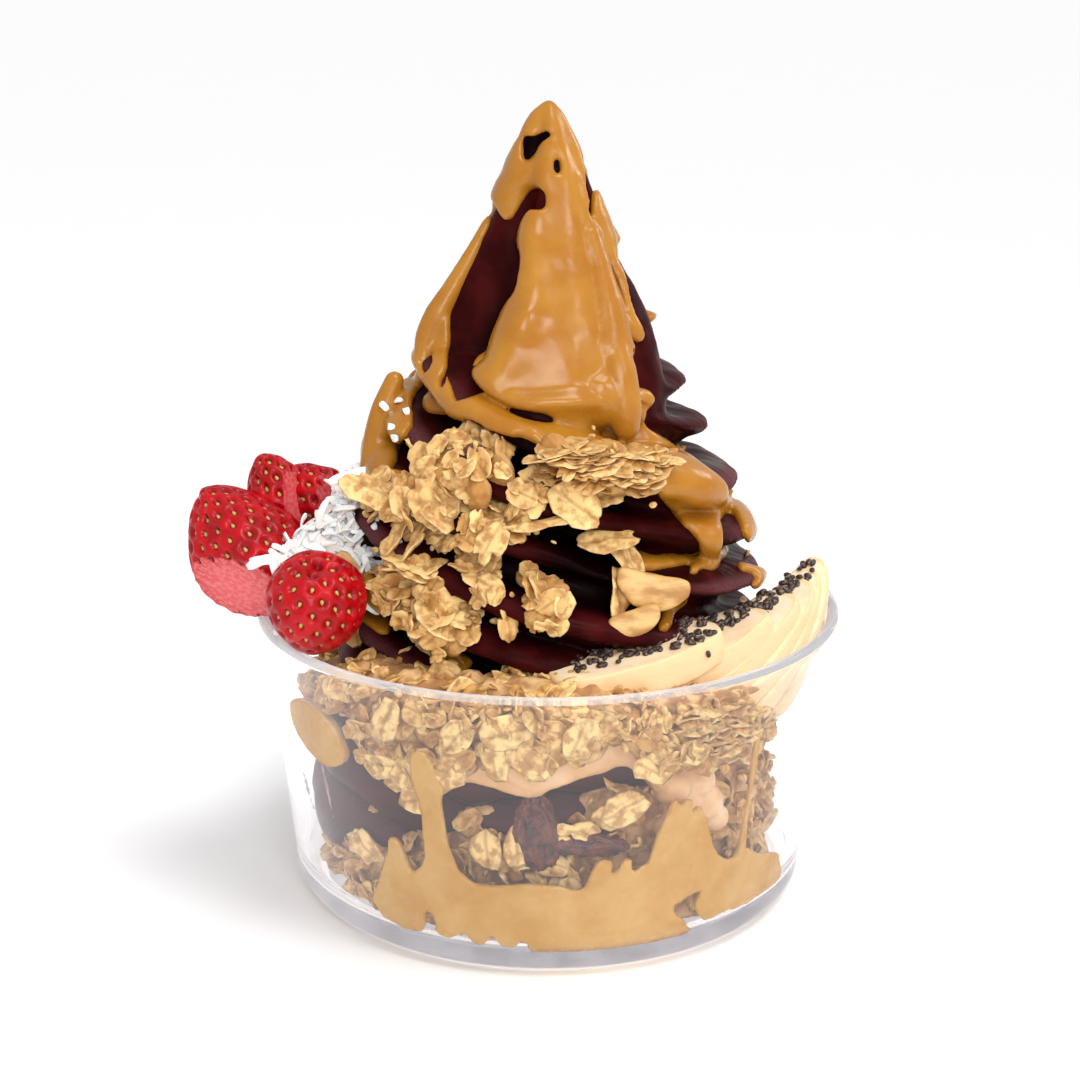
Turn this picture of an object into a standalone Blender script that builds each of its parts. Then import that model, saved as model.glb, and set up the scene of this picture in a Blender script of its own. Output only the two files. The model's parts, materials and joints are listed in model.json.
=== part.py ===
"""A cup of soft serve: a clear glass bowl of layered soft serve, peanut butter sauce and
granola under a tall piped swirl, dressed with granola, berries, coconut and banana.

Units are metres, +Z up. The origin is the middle of the bowl's underside, and the front
of the cup faces -Y. Sizes are written in millimetres and turned to metres by MM.
"""
import math
import random

import bmesh
import bpy
import numpy as np
from mathutils import Matrix, Vector
from mathutils.bvhtree import BVHTree

MM = 0.001

# ---- driving dimensions (mm) -------------------------------------------------------------
RIM_RADIUS = 75.0            # outside of the rim
BOWL_HEIGHT = 75.0
WALL = 3.4
FLOOR = 6.0                  # thickness of the glass floor
BASE_RADIUS = 66.1           # where the outer wall's line meets the floor
OUTER_CORNER = 8.3
INNER_CORNER = 12.0
RIM_FLARE = 1.0
FLARE_HEIGHT = 6.0
SWIRL_TOP = 203.0
SWIRL_FOOT = 50.0            # flat underside of the swirl, down inside the granola
COIL_PITCH = 25.0            # fall of the piped rope in one turn
COIL_TILT = 10.0             # the coils stand higher on the left than on the right
HOLLOW = (-70.0, 38.0, 98.0, 7.5)    # azimuth, its spread, height and spread of a deep fold
HOLLOW_DEPTH = 8.0
SAUCE_THICK = 2.2            # on the swirl
SMEAR_THICK = 2.4            # on the glass
POOL_FRONT = -80.0           # azimuth where the pool on the floor climbs the bowl's corner
CLEARANCE = 0.35             # gap kept between neighbouring pieces
LAYER_GAP = 0.4
LAYER_EDGE = 54.0            # radius where neighbouring layers meet
LAYER_HEART = 44.0           # within this radius their borders are flat
FLAKE_SIZE = (4.2, 3.3, 1.1)     # half length, half width and thickness of an oat flake
SEED_SIZE = (1.2, 0.8, 0.7)      # half sizes of a chia seed
EYE = (-2.1, -568.4, 262.3)      # the point that the front elevation is seen from

# radius round the swirl's coils at each height, and of the spire that rises from them
COIL_ENVELOPE = [(40, 52), (50, 53), (60, 55), (74, 55.5), (85, 55), (95, 53.5), (103, 50.5),
                 (111, 48), (118, 44.5), (126, 41), (134, 36), (142, 32), (150, 27), (158, 20),
                 (170, 10)]
SPIRE_ENVELOPE = [(100, 33), (122, 32), (134, 31.5), (142, 29.5), (150, 26.5), (157, 22.5),
                  (165, 18), (172, 14.8), (179, 12), (187, 9), (194, 6), (199, 3.6), (203, 0.3)]

# heights of the layers' borders at the glass, by azimuth in degrees (-90 is the front)
GRANOLA_LOWER_TOP = [(-180, 16), (-155, 15), (-130, 21), (-114, 31), (-97, 33), (-77, 30),
                     (-62, 39), (-45, 40), (-20, 37), (40, 31), (110, 29)]
SOFT_SERVE_TOP = [(-180, 46), (-155, 44), (-120, 42), (-97, 42), (-78, 45), (-65, 45), (-50, 42.5),
                  (-20, 41), (40, 42), (110, 44)]
SAUCE_TOP = [(-180, 48), (-155, 46), (-125, 44.5), (-108, 48), (-90, 50.5), (-70, 50), (-50, 46),
             (-20, 44), (40, 44.5), (110, 46)]
GRANOLA_TOP = [(-180, 56), (-160, 66), (-140, 73), (-110, 72), (-87, 72.5), (-60, 70), (-42, 62),
               (-20, 54), (20, 50), (90, 50), (150, 52)]

# outlines of the sauce as the front elevation shows them: (x, z) in mm on the plane y = 0
SAUCE_SHEET = [(-14, 210), (10, 210), (14.5, 186), (19, 170), (22, 156), (26, 142), (24.5, 138),
               (19.5, 148), (22, 136), (19.5, 129.5), (27, 124), (25.5, 117), (33, 109), (43, 98.5),
               (53, 85), (54, 77.5), (50, 77.5), (47.5, 89), (44.5, 83), (45, 74.5), (41, 73),
               (37.5, 82), (30, 92), (21, 105), (-2, 108), (-13, 111), (-30, 114), (-33, 118),
               (-29, 121), (-16, 121), (-7, 117.5), (-12.5, 121.5), (-16, 128), (-15, 136),
               (-8, 149), (-5, 163), (-3, 173), (-1.5, 177.5), (-4.5, 176.5), (-8, 172),
               (-11, 169), (-14.5, 175.5), (-19, 160), (-26, 151), (-28.5, 140), (-28.5, 122),
               (-33, 127), (-35, 119), (-37, 110), (-40.5, 104), (-46.5, 104), (-44, 120),
               (-38, 140), (-24, 170)]
SAUCE_BLOBS = [[(-49, 80), (-50, 65), (-44, 58), (-40, 62), (-40, 72), (-44, 80)],
               [(-30, 61), (-25, 53), (-16, 57), (-15, 60), (-22, 62)],
               [(27.5, 78), (31, 78.5), (31.5, 70), (28.5, 66.5), (27.5, 70)],
               [(18, 82), (22, 79), (34, 81), (40, 78), (38, 75), (24, 76.5)]]

# the sauce pressed on the inside of the glass, seen from the front in the same way
SMEAR = [(-47, 1), (-45, 14), (-43, 20), (-39.5, 12.5), (-35.5, 14), (-36.5, 36), (-33, 42),
         (-30.5, 37), (-28.5, 15), (-18, 7.5), (-6, 7.3), (8, 6), (12, 11), (15.5, 8), (20, 11),
         (23, 8.5), (28, 20), (32, 30), (36, 30.5), (39.5, 27), (42.5, 15.5), (50, 14.5),
         (53.5, 13), (60.5, 15), (62, 6), (56, -1), (45, -4.5), (37.5, -4), (37, -9), (28, -13),
         (14, -15), (-4, -11.5), (-14, -9.5), (-24, -9), (-31, -6), (-36, -8), (-43, -4)]


# ---- small helpers -----------------------------------------------------------------------
def outer_wall(z):
    """Radius of the bowl's outside at height z, in mm."""
    lean = (RIM_RADIUS - RIM_FLARE - BASE_RADIUS) / BOWL_HEIGHT
    flare = max(0.0, (z - BOWL_HEIGHT + FLARE_HEIGHT) / FLARE_HEIGHT)
    return BASE_RADIUS + lean * z + RIM_FLARE * flare ** 2


def inner_wall(z):
    """Radius of the bowl's inside at height z, round the inner corner too."""
    if z >= FLOOR + INNER_CORNER:
        return outer_wall(z) - WALL
    centre = outer_wall(FLOOR + INNER_CORNER) - WALL - INNER_CORNER
    drop = min(INNER_CORNER, FLOOR + INNER_CORNER - z)
    return centre + math.sqrt(INNER_CORNER ** 2 - drop ** 2)


def along(keys, value):
    """Straight interpolation through (position, value) keys."""
    return np.interp(value, [k[0] for k in keys], [k[1] for k in keys])


def around(keys, azimuth):
    """The same round a full turn, with azimuth in radians."""
    degrees = (np.degrees(azimuth) + 180.0) % 360.0 - 180.0
    return np.interp(degrees, [k[0] for k in keys], [k[1] for k in keys], period=360)


def material(name, color, roughness, transmission=0.0):
    """A plain Principled material."""
    mat = bpy.data.materials.get(name) or bpy.data.materials.new(name)
    mat.use_nodes = True
    shader = mat.node_tree.nodes["Principled BSDF"]
    shader.inputs["Base Color"].default_value = (*color, 1.0)
    shader.inputs["Roughness"].default_value = roughness
    shader.inputs["Metallic"].default_value = 0.0
    shader.inputs["Transmission Weight"].default_value = transmission
    return mat


def add(bm, name, mat=None, where=None):
    """Put a bmesh, whose sizes are in mm, into the model as one object in metres."""
    bmesh.ops.scale(bm, vec=(MM, MM, MM), verts=bm.verts)
    mesh = bpy.data.meshes.new(name)
    bm.to_mesh(mesh)
    bm.free()
    obj = bpy.data.objects.new(name, mesh)
    (where or PARTS).objects.link(obj)
    if mat:
        mesh.materials.append(mat)
    return obj


def evaluated(obj):
    """A free copy of an object's mesh with its modifiers applied, as a bmesh in mm."""
    bpy.context.view_layer.update()
    graph = bpy.context.evaluated_depsgraph_get()
    mesh = bpy.data.meshes.new_from_object(obj.evaluated_get(graph), depsgraph=graph)
    bm = bmesh.new()
    bm.from_mesh(mesh)
    bm.transform(Matrix.Scale(1.0 / MM, 4) @ obj.matrix_world)
    bpy.data.meshes.remove(mesh)
    return bm


def settle(obj):
    """Apply an object's modifiers, keeping only its largest closed body."""
    bm = evaluated(obj)
    obj.modifiers.clear()
    bmesh.ops.remove_doubles(bm, verts=bm.verts, dist=0.002)
    bmesh.ops.triangulate(bm, faces=bm.faces)
    keep_largest(bm)
    bmesh.ops.scale(bm, vec=(MM, MM, MM), verts=bm.verts)
    bm.to_mesh(obj.data)
    bm.free()
    return obj


def keep_largest(bm):
    """Drop every loose scrap but the body with the most faces."""
    bm.verts.ensure_lookup_table()
    seen = set()
    bodies = []
    for start in bm.verts:
        if start.index in seen:
            continue
        body = []
        queue = [start]
        seen.add(start.index)
        while queue:
            vert = queue.pop()
            body.append(vert)
            for edge in vert.link_edges:
                other = edge.other_vert(vert)
                if other.index not in seen:
                    seen.add(other.index)
                    queue.append(other)
        bodies.append(body)
    bodies.sort(key=len, reverse=True)
    for body in bodies[1:]:
        bmesh.ops.delete(bm, geom=body, context="VERTS")


def remesh(obj, voxel, ratio):
    """Melt overlapping bodies into one skin, then thin its faces."""
    melt = obj.modifiers.new("melt", "REMESH")
    melt.mode = "VOXEL"
    melt.voxel_size = voxel * MM
    thin = obj.modifiers.new("thin", "DECIMATE")
    thin.ratio = ratio
    return settle(obj)


def grown(obj, distance):
    """A cutter that stands a little outside an object all over."""
    bm = bmesh.new()
    bm.from_mesh(obj.data)
    bm.transform(Matrix.Scale(1.0 / MM, 4) @ obj.matrix_world)
    bmesh.ops.remove_doubles(bm, verts=bm.verts, dist=0.001)
    bm.normal_update()
    moves = [vert.normal * distance for vert in bm.verts]
    for vert, move in zip(bm.verts, moves):
        vert.co += move
    cutter = add(bm, obj.name + "_cutter", where=CUTTERS)
    cutter.hide_render = True
    cutter.display_type = "WIRE"
    return cutter


def overlaps(a, b, margin):
    """Whether two objects' boxes come within margin (mm) of each other."""
    boxes = []
    for obj in (a, b):
        points = np.array([obj.matrix_world @ v.co for v in obj.data.vertices])
        boxes.append((points.min(0), points.max(0)))
    (a_lo, a_hi), (b_lo, b_hi) = boxes
    return bool(np.all(a_lo < b_hi + margin * MM) and np.all(b_lo < a_hi + margin * MM))


def trim(obj, neighbours):
    """Cut a piece back so that it keeps its clearance to each neighbour."""
    bpy.context.view_layer.update()
    for other in neighbours:
        if not overlaps(obj, other, 1.0):
            continue
        cutter = grown(other, CLEARANCE)
        cut = obj.modifiers.new("clear", "BOOLEAN")
        cut.operation = "DIFFERENCE"
        cut.object = cutter
        settle(obj)
        bpy.data.objects.remove(cutter)
        if not obj.data.polygons:
            raise RuntimeError(obj.name + " is cut away by " + other.name)
    return obj


def fuse(obj, bits, keep=1.0):
    """Join small pieces to the body they lie on with one Boolean union, then thin its faces."""
    bundle = bpy.data.collections.new(obj.name + "_bits")
    bpy.context.scene.collection.children.link(bundle)
    for bit in bits:
        for home in list(bit.users_collection):
            home.objects.unlink(bit)
        bundle.objects.link(bit)
    union = obj.modifiers.new("fuse", "BOOLEAN")
    union.operation = "UNION"
    union.operand_type = "COLLECTION"
    union.collection = bundle
    settle(obj)
    if keep < 1.0:
        thin = obj.modifiers.new("thin", "DECIMATE")
        thin.ratio = keep
        settle(obj)
    for bit in list(bundle.objects):
        bpy.data.objects.remove(bit)
    bpy.data.collections.remove(bundle)
    return obj


# ---- the glass bowl ----------------------------------------------------------------------
def arc(centre, radius, start, end, steps):
    """Points on an arc in the (r, z) plane, angles in degrees from +r."""
    angles = np.radians(np.linspace(start, end, steps + 1))
    return [(centre[0] + radius * math.cos(a), centre[1] + radius * math.sin(a)) for a in angles]


def turned(name, profile, steps, mat=None, where=None):
    """A closed turned body: a profile of (r, z) points from the axis back to the axis."""
    bm = bmesh.new()
    verts = [bm.verts.new((r, 0, z)) for r, z in profile]
    for a, b in zip(verts, verts[1:]):
        bm.edges.new((a, b))
    obj = add(bm, name, mat, where)
    screw = obj.modifiers.new("turn", "SCREW")
    screw.steps = steps
    screw.render_steps = steps
    screw.use_merge_vertices = True
    screw.merge_threshold = 0.01 * MM
    return obj


def glass_bowl():
    """Thick clear glass with a rounded rim and a heavy floor."""
    inside = [(0, FLOOR)]
    centre = (inner_wall(FLOOR + INNER_CORNER) - INNER_CORNER, FLOOR + INNER_CORNER)
    inside += arc(centre, INNER_CORNER, -90, 0, 4)
    inside += [(inner_wall(z), z) for z in (45.0, BOWL_HEIGHT - FLARE_HEIGHT)]
    rim = arc((RIM_RADIUS - WALL / 2, BOWL_HEIGHT - WALL / 2), WALL / 2, 180, 0, 4)
    outside = [(outer_wall(z), z) for z in (BOWL_HEIGHT - FLARE_HEIGHT, 30.0)]
    foot = (outer_wall(OUTER_CORNER) - OUTER_CORNER, OUTER_CORNER)
    outside += arc(foot, OUTER_CORNER, 0, -90, 4)
    outside += [(0, 0)]
    glass = material("glass", (0.96, 0.975, 0.98), 0.02, transmission=1.0)
    return turned("glass_bowl", inside + rim + outside, 40, glass)


# ---- layers inside the bowl --------------------------------------------------------------
def puck(name, rings, mat, segments=28):
    """A closed layer from a sphere's rings; rings(k, azimuth) gives (r, z) for ring k."""
    last = 8
    bm = bmesh.new()
    bmesh.ops.create_uvsphere(bm, u_segments=segments, v_segments=last, radius=1.0)
    for vert in bm.verts:
        k = int(round(math.acos(max(-1.0, min(1.0, vert.co.z))) / math.pi * last))
        azimuth = math.atan2(vert.co.y, vert.co.x)
        r, z = rings(k, azimuth)
        vert.co = Vector((r * math.cos(azimuth), r * math.sin(azimuth), z))
    bmesh.ops.triangulate(bm, faces=bm.faces)
    return add(bm, name, mat)


def layer(name, bottom, top, flat_bottom, flat_top, bulge, mat):
    """A layer between two borders, flat at its heart and following the keys at its edge."""
    def rings(k, azimuth):
        high = float(around(top, azimuth)) - LAYER_GAP / 2
        low = float(around(bottom, azimuth)) + LAYER_GAP / 2
        side = float(around(bulge, azimuth))
        return [(0, flat_top - LAYER_GAP / 2), (LAYER_HEART, flat_top - LAYER_GAP / 2), (LAYER_EDGE, high),
                (side, high * 0.8 + low * 0.2), (side, high * 0.2 + low * 0.8),
                (LAYER_EDGE, low), (LAYER_HEART, flat_bottom + LAYER_GAP / 2),
                (LAYER_HEART / 2, flat_bottom + LAYER_GAP / 2), (0, flat_bottom + LAYER_GAP / 2)][k]
    return puck(name, rings, mat)


def flake(name, centre, normal, spin, size):
    """One rolled flake: a thin oval prism lying square to the normal."""
    bm = bmesh.new()
    bmesh.ops.create_cone(bm, cap_ends=True, segments=6, radius1=1.0, radius2=0.86, depth=1.0)
    bmesh.ops.scale(bm, vec=(size[0], size[1], size[2]), verts=bm.verts)
    turn = Vector(normal).to_track_quat("Z", "X").to_matrix().to_4x4()
    bmesh.ops.transform(bm, matrix=Matrix.Translation(centre) @ turn @ Matrix.Rotation(spin, 4, "Z"),
                        verts=bm.verts)
    return add(bm, name, where=CUTTERS)


def side_flakes(count, low, high, reach, rng, span=(-165, -15)):
    """Flakes pressed out of a layer's side, spread evenly over the span of azimuth."""
    bits = []
    for i in range(count):
        azimuth = math.radians(span[0] + (span[1] - span[0]) * (i + 0.5) / count)
        z = float(around(low, azimuth))
        z += (float(around(high, azimuth)) - z) * (0.2 + 0.6 * ((i * 0.618) % 1.0))
        size = [s * rng.uniform(0.85, 1.15) for s in FLAKE_SIZE]
        lean = Vector((rng.uniform(-0.5, 0.5), rng.uniform(-0.5, 0.5), rng.uniform(-0.5, 0.6)))
        out = Vector((math.cos(azimuth), math.sin(azimuth), 0))
        bits.append(flake("flake", out * reach + Vector((0, 0, z)), out + lean, rng.uniform(0, 3.1), size))
    return bits


def layers():
    """Sauce, granola, soft serve, sauce and granola, from the glass floor up."""
    rng = random.Random(4)
    floor_top = [(-180, 10)]
    sauce = material("peanut_butter", (0.66, 0.29, 0.045), 0.3)
    oats = material("granola", (0.85, 0.55, 0.22), 0.75)
    cream = material("soft_serve", (0.045, 0.006, 0.008), 0.4)

    lower = layer("granola_lower", floor_top, GRANOLA_LOWER_TOP, 10, 28,
                  [(-180, 56), (-100, 57.5), (0, 56), (90, 56)], oats)
    fuse(lower, side_flakes(12, floor_top, GRANOLA_LOWER_TOP, 57.0, rng))
    coil = layer("soft_serve_lower", GRANOLA_LOWER_TOP, SOFT_SERVE_TOP, 28, 41,
                 [(-180, 63), (-150, 62.5), (-110, 59), (-60, 57), (-30, 55.5), (60, 58), (120, 62)], cream)
    drape = layer("peanut_butter_middle", SOFT_SERVE_TOP, SAUCE_TOP, 41, 43.5,
                  [(-180, 56), (-120, 58), (-90, 60), (-60, 59), (0, 56)], sauce)

    def collar(k, azimuth):
        high = float(around(GRANOLA_TOP, azimuth))
        low = float(around(SAUCE_TOP, azimuth)) + LAYER_GAP / 2
        rise = min(1.0, max(0.0, (high - 52.0) / 18.0))
        outside = 59.0 + 7.0 * rise
        return [(0, SWIRL_FOOT - LAYER_GAP), (LAYER_HEART, SWIRL_FOOT - LAYER_GAP),
                (LAYER_EDGE + 2.0, SWIRL_FOOT - LAYER_GAP + (high - SWIRL_FOOT) * rise * 0.9),
                (outside - 3.0, high), (outside, high - 6.0 * rise - 1.5), (LAYER_EDGE + 3.0, low + 2.0),
                (LAYER_EDGE, low), (LAYER_HEART, 43.5 + LAYER_GAP / 2), (0, 43.5 + LAYER_GAP / 2)][k]
    upper = puck("granola_upper", collar, oats)
    bits = side_flakes(11, SAUCE_TOP, [(-180, 60)], 62.0, rng)
    bits += side_flakes(10, [(-180, 58)], GRANOLA_TOP, 64.0, rng, span=(-150, -40))
    fuse(upper, bits)
    return [lower, coil, drape, upper]


def view_prism(name, outline, near, far):
    """A cutter through an outline of the front elevation, from y = near to y = far (mm)."""
    curve = bpy.data.curves.new(name, "CURVE")
    curve.dimensions = "2D"
    curve.fill_mode = "BOTH"
    curve.extrude = 1.0
    spline = curve.splines.new("POLY")
    spline.points.add(len(outline) - 1)
    for point, (x, z) in zip(spline.points, outline):
        point.co = (x, z, 0, 1)
    spline.use_cyclic_u = True
    flat = bpy.data.objects.new(name, curve)
    bpy.context.scene.collection.objects.link(flat)
    bm = evaluated(flat)
    bpy.data.objects.remove(flat)
    bmesh.ops.scale(bm, vec=(MM, MM, MM), verts=bm.verts)
    bmesh.ops.remove_doubles(bm, verts=bm.verts, dist=0.001)
    eye = Vector(EYE)
    for vert in bm.verts:
        depth = near if vert.co.z < 0 else far
        seen = Vector((vert.co.x, 0, vert.co.y))
        vert.co = eye + (seen - eye) * ((depth - eye.y) / -eye.y)
    bmesh.ops.recalc_face_normals(bm, faces=bm.faces)
    return add(bm, name, where=CUTTERS)


def sauce_on_glass():
    """The lowest sauce: a pool on the glass floor that is smeared up the front wall."""
    sauce = material("peanut_butter", (0.66, 0.29, 0.045), 0.3)
    heights = [FLOOR + INNER_CORNER * (1 - math.cos(math.radians(a))) for a in (12, 35, 60, 90)]
    heights += [60.0]
    outer = [(inner_wall(z) - CLEARANCE, z + CLEARANCE * max(0.0, 1 - (z - FLOOR) / INNER_CORNER))
             for z in heights]
    inner = [(r - SMEAR_THICK, z + SMEAR_THICK * 0.8 * max(0.0, 1 - (z - FLOOR) / INNER_CORNER))
             for r, z in outer]
    bm = bmesh.new()
    loop = [bm.verts.new((r, 0, z)) for r, z in inner + outer[::-1]]
    for a, b in zip(loop, loop[1:] + loop[:1]):
        bm.edges.new((a, b))
    shell = add(bm, "peanut_butter_base", sauce)
    screw = shell.modifiers.new("turn", "SCREW")
    screw.steps = 44
    screw.render_steps = 44
    screw.use_merge_vertices = True
    screw.merge_threshold = 0.01 * MM
    settle(shell)
    cutter = view_prism("smear", SMEAR, -100.0, -12.0)
    cut = shell.modifiers.new("outline", "BOOLEAN")
    cut.operation = "INTERSECT"
    cut.object = cutter
    settle(shell)
    bpy.data.objects.remove(cutter)

    def pool_rings(k, azimuth):
        turn = (azimuth - math.radians(POOL_FRONT) + math.pi) % (2 * math.pi) - math.pi
        bank = math.exp(-(turn / math.radians(60.0)) ** 2)
        low = FLOOR + CLEARANCE
        reach = 50.0 + 4.3 * bank
        return [(0, 9.7), (25, 9.7), (50 + 11 * bank, 9.4 + 2.8 * bank),
                (51.2 + 10.3 * bank, 8.6 + 2.4 * bank), (51 + 6.5 * bank, 7.4), (reach, low),
                (reach * 0.7, low), (reach * 0.3, low), (0, low)][k]
    pool = puck("pool", pool_rings, sauce, segments=24)
    fuse(shell, [pool])
    if max(vert.co.y for vert in shell.data.vertices) < 40.0 * MM:
        raise RuntimeError("the pool on the floor doesn't meet the smear on the wall")
    return shell


# ---- the swirl ---------------------------------------------------------------------------
def signed_distance(points, outline):
    """How far each 2D point lies inside (+) or outside (-) a closed outline."""
    a = np.array(outline, float)
    b = np.roll(a, -1, axis=0)
    edge = b - a
    rel = points[:, None, :] - a[None]
    t = np.clip((rel * edge).sum(-1) / (edge ** 2).sum(-1), 0, 1)
    near = rel - t[..., None] * edge
    dist = np.sqrt((near ** 2).sum(-1)).min(1)
    level = points[:, 1:2]
    straddles = (a[:, 1] <= level) != (b[:, 1] <= level)
    slope = edge[:, 0] / np.where(edge[:, 1] == 0, 1e-9, edge[:, 1])
    crossing = a[:, 0] + (level - a[:, 1]) * slope
    inside = (straddles & (points[:, 0:1] < crossing)).sum(1) % 2 == 1
    return np.where(inside, dist, -dist)


def elevation(points):
    """Where points (mm) show on the plane y = 0 when seen from the eye."""
    eye = np.array(EYE)
    t = -eye[1] / (points[:, 1] - eye[1])
    return eye[[0, 2]] + (points[:, [0, 2]] - eye[[0, 2]]) * t[:, None]


def sauce_cover(points):
    """How far inside the sauce's outlines each point of the swirl lies, in mm."""
    seen = elevation(points)
    front = signed_distance(seen, SAUCE_SHEET)
    for blob in SAUCE_BLOBS:
        front = np.maximum(front, signed_distance(seen, blob))
    azimuth = np.arctan2(points[:, 1], points[:, 0])
    drips = 132.0 - 16.0 * np.cos(5 * azimuth + 0.6) - 9.0 * np.cos(9 * azimuth + 2.0)
    back = points[:, 2] - drips
    return np.where(points[:, 1] < 4.0, front, back)


def rope():
    """The piped rope: a two-lipped section screwed down round the axis, open ends closed."""
    section = [(-26, 12.5), (-10, 12.8), (-3.5, 11), (-0.3, 8.6), (0, 7), (-2, 5.6), (-7, 4.6),
               (-10, 1), (-9, -1.6), (-3, -2.2), (-0.4, -4), (-0.2, -6), (-3, -8), (-8, -9.2),
               (-10.5, -12), (-26, -12.5)]
    reach = 60.0
    bm = bmesh.new()
    loop = [bm.verts.new((reach + d, 0, h)) for d, h in section]
    for a, b in zip(loop, loop[1:] + loop[:1]):
        bm.edges.new((a, b))
    obj = add(bm, "rope", where=CUTTERS)
    screw = obj.modifiers.new("pipe", "SCREW")
    screw.steps = 40
    screw.render_steps = 40
    screw.iterations = 5
    screw.screw_offset = -COIL_PITCH * MM
    bm = evaluated(obj)
    bpy.data.objects.remove(obj)
    bmesh.ops.holes_fill(bm, edges=[e for e in bm.edges if e.is_boundary], sides=0)
    bmesh.ops.recalc_face_normals(bm, faces=bm.faces)
    start = math.radians(-60.0)
    first = 143.0 + COIL_TILT * math.cos(start) - COIL_PITCH / 3.0
    for vert in bm.verts:
        azimuth = math.atan2(vert.co.y, vert.co.x) + start
        depth = math.hypot(vert.co.x, vert.co.y) - reach
        z = vert.co.z + first
        z -= COIL_TILT * math.cos(azimuth) * min(1.0, max(0.0, (z - 40.0) / 20.0))
        wave = 1.0 + 0.25 * math.sin(3 * azimuth + z * 0.11)
        turn = (azimuth - math.radians(HOLLOW[0]) + math.pi) % (2 * math.pi) - math.pi
        hollow = math.exp(-(turn / math.radians(HOLLOW[1])) ** 2 - ((z - HOLLOW[2]) / HOLLOW[3]) ** 2)
        radius = max(0.5, float(along(COIL_ENVELOPE, z)) + depth * wave - HOLLOW_DEPTH * hollow)
        vert.co = Vector((radius * math.cos(azimuth), radius * math.sin(azimuth), z))
    return add(bm, "rope", where=CUTTERS)


def spire():
    """The drawn-up peak: a cone with deep upright folds, on a plain core."""
    bm = bmesh.new()
    last = 40
    bmesh.ops.create_uvsphere(bm, u_segments=60, v_segments=last, radius=1.0)
    for vert in bm.verts:
        t = math.acos(max(-1.0, min(1.0, vert.co.z))) / math.pi
        azimuth = math.atan2(vert.co.y, vert.co.x)
        z = SWIRL_TOP - (SWIRL_TOP - 46.0) * t
        size = float(along(SPIRE_ENVELOPE, z))
        twist = math.radians(-111.0) + (z - 150.0) * 0.004
        fold = (0.5 + 0.5 * math.cos(6 * (azimuth - twist))) ** 2
        depth = 0.34 * min(1.0, max(0.0, (z - 112.0) / 14.0))
        if t > 0.999:
            size = 0.0
        r = size * (1 - depth * fold)
        vert.co = Vector((r * math.cos(azimuth) - 1.5 * t, r * math.sin(azimuth), z))
    return add(bm, "spire", where=CUTTERS)


def swirl():
    """The whole swirl melted into one skin, coated with sauce, and cut flat underneath."""
    cream = material("soft_serve", (0.045, 0.006, 0.008), 0.4)
    bm = bmesh.new()
    for piece in (rope(), spire()):
        bm.from_mesh(piece.data)
        bpy.data.objects.remove(piece)
    bmesh.ops.scale(bm, vec=(1 / MM, 1 / MM, 1 / MM), verts=bm.verts)
    body = add(bm, "soft_serve", cream)
    remesh(body, 1.5, 1.0)
    smooth = body.modifiers.new("soften", "SMOOTH")
    smooth.factor = 0.5
    smooth.iterations = 2
    settle(body)
    points = np.array([v.co for v in body.data.vertices]) / MM
    normals = np.array([v.normal for v in body.data.vertices])
    cover = np.clip(sauce_cover(points) / 2.0, 0.0, 1.0)
    height = SAUCE_THICK * np.sqrt(1 - (1 - cover) ** 2)
    points += normals * height[:, None]
    for vert, point in zip(body.data.vertices, points):
        vert.co = Vector(point) * MM
    remesh(body, 1.5, 0.045)
    bm = bmesh.new()
    bmesh.ops.create_cube(bm, size=200.0)
    bmesh.ops.translate(bm, verts=bm.verts, vec=(0, 0, SWIRL_FOOT - 100.0))
    block = add(bm, "block", where=CUTTERS)
    cut = body.modifiers.new("foot", "BOOLEAN")
    cut.operation = "DIFFERENCE"
    cut.object = block
    settle(body)
    bpy.data.objects.remove(block)
    return body


# ---- granola, nuts and dried fruit -------------------------------------------------------
def surface_point(tree, spot):
    """The point and normal (mm) of the swirl that shows at a spot of the front elevation."""
    eye = Vector(EYE)
    seen = Vector((spot[0], 0, spot[1]))
    hit, normal, _, _ = tree.ray_cast(eye * MM, (seen - eye).normalized())
    return hit / MM, normal


def cluster(name, tree, spot, size, lean, count, mat, rng):
    """A crisp lump of oat flakes stuck to the swirl; size is its half width and height."""
    centre, normal = surface_point(tree, spot)
    out = Vector((centre.x, centre.y, 0)).normalized()
    side = Vector((-out.y, out.x, 0))
    up = Vector((0, 0, 1))
    run = side * math.cos(lean) + up * math.sin(lean)
    cross = up * math.cos(lean) - side * math.sin(lean)
    bm = bmesh.new()
    bmesh.ops.create_uvsphere(bm, u_segments=8, v_segments=6, radius=1.0)
    heart = Matrix((run * size[0] * 0.8, cross * size[1] * 0.75, out * 4.2)).transposed().to_4x4()
    middle = centre + out * 0.8
    bmesh.ops.transform(bm, matrix=Matrix.Translation(middle) @ heart, verts=bm.verts)
    body = add(bm, name, mat)
    bits = []
    for i in range(count):
        a = 2 * math.pi * (i + 0.4 * rng.random()) / count
        place = middle + run * (size[0] * 0.62 * math.cos(a)) + cross * (size[1] * 0.6 * math.sin(a))
        place += out * 2.8
        facing = out + run * (0.7 * math.cos(a)) + cross * (0.7 * math.sin(a)) + Vector((0, 0, 0.3))
        size = [s * 1.05 for s in FLAKE_SIZE]
        bits.append(flake("bit", place, facing, rng.uniform(0, 3.1), size))
    return fuse(body, bits, keep=0.5)


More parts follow.
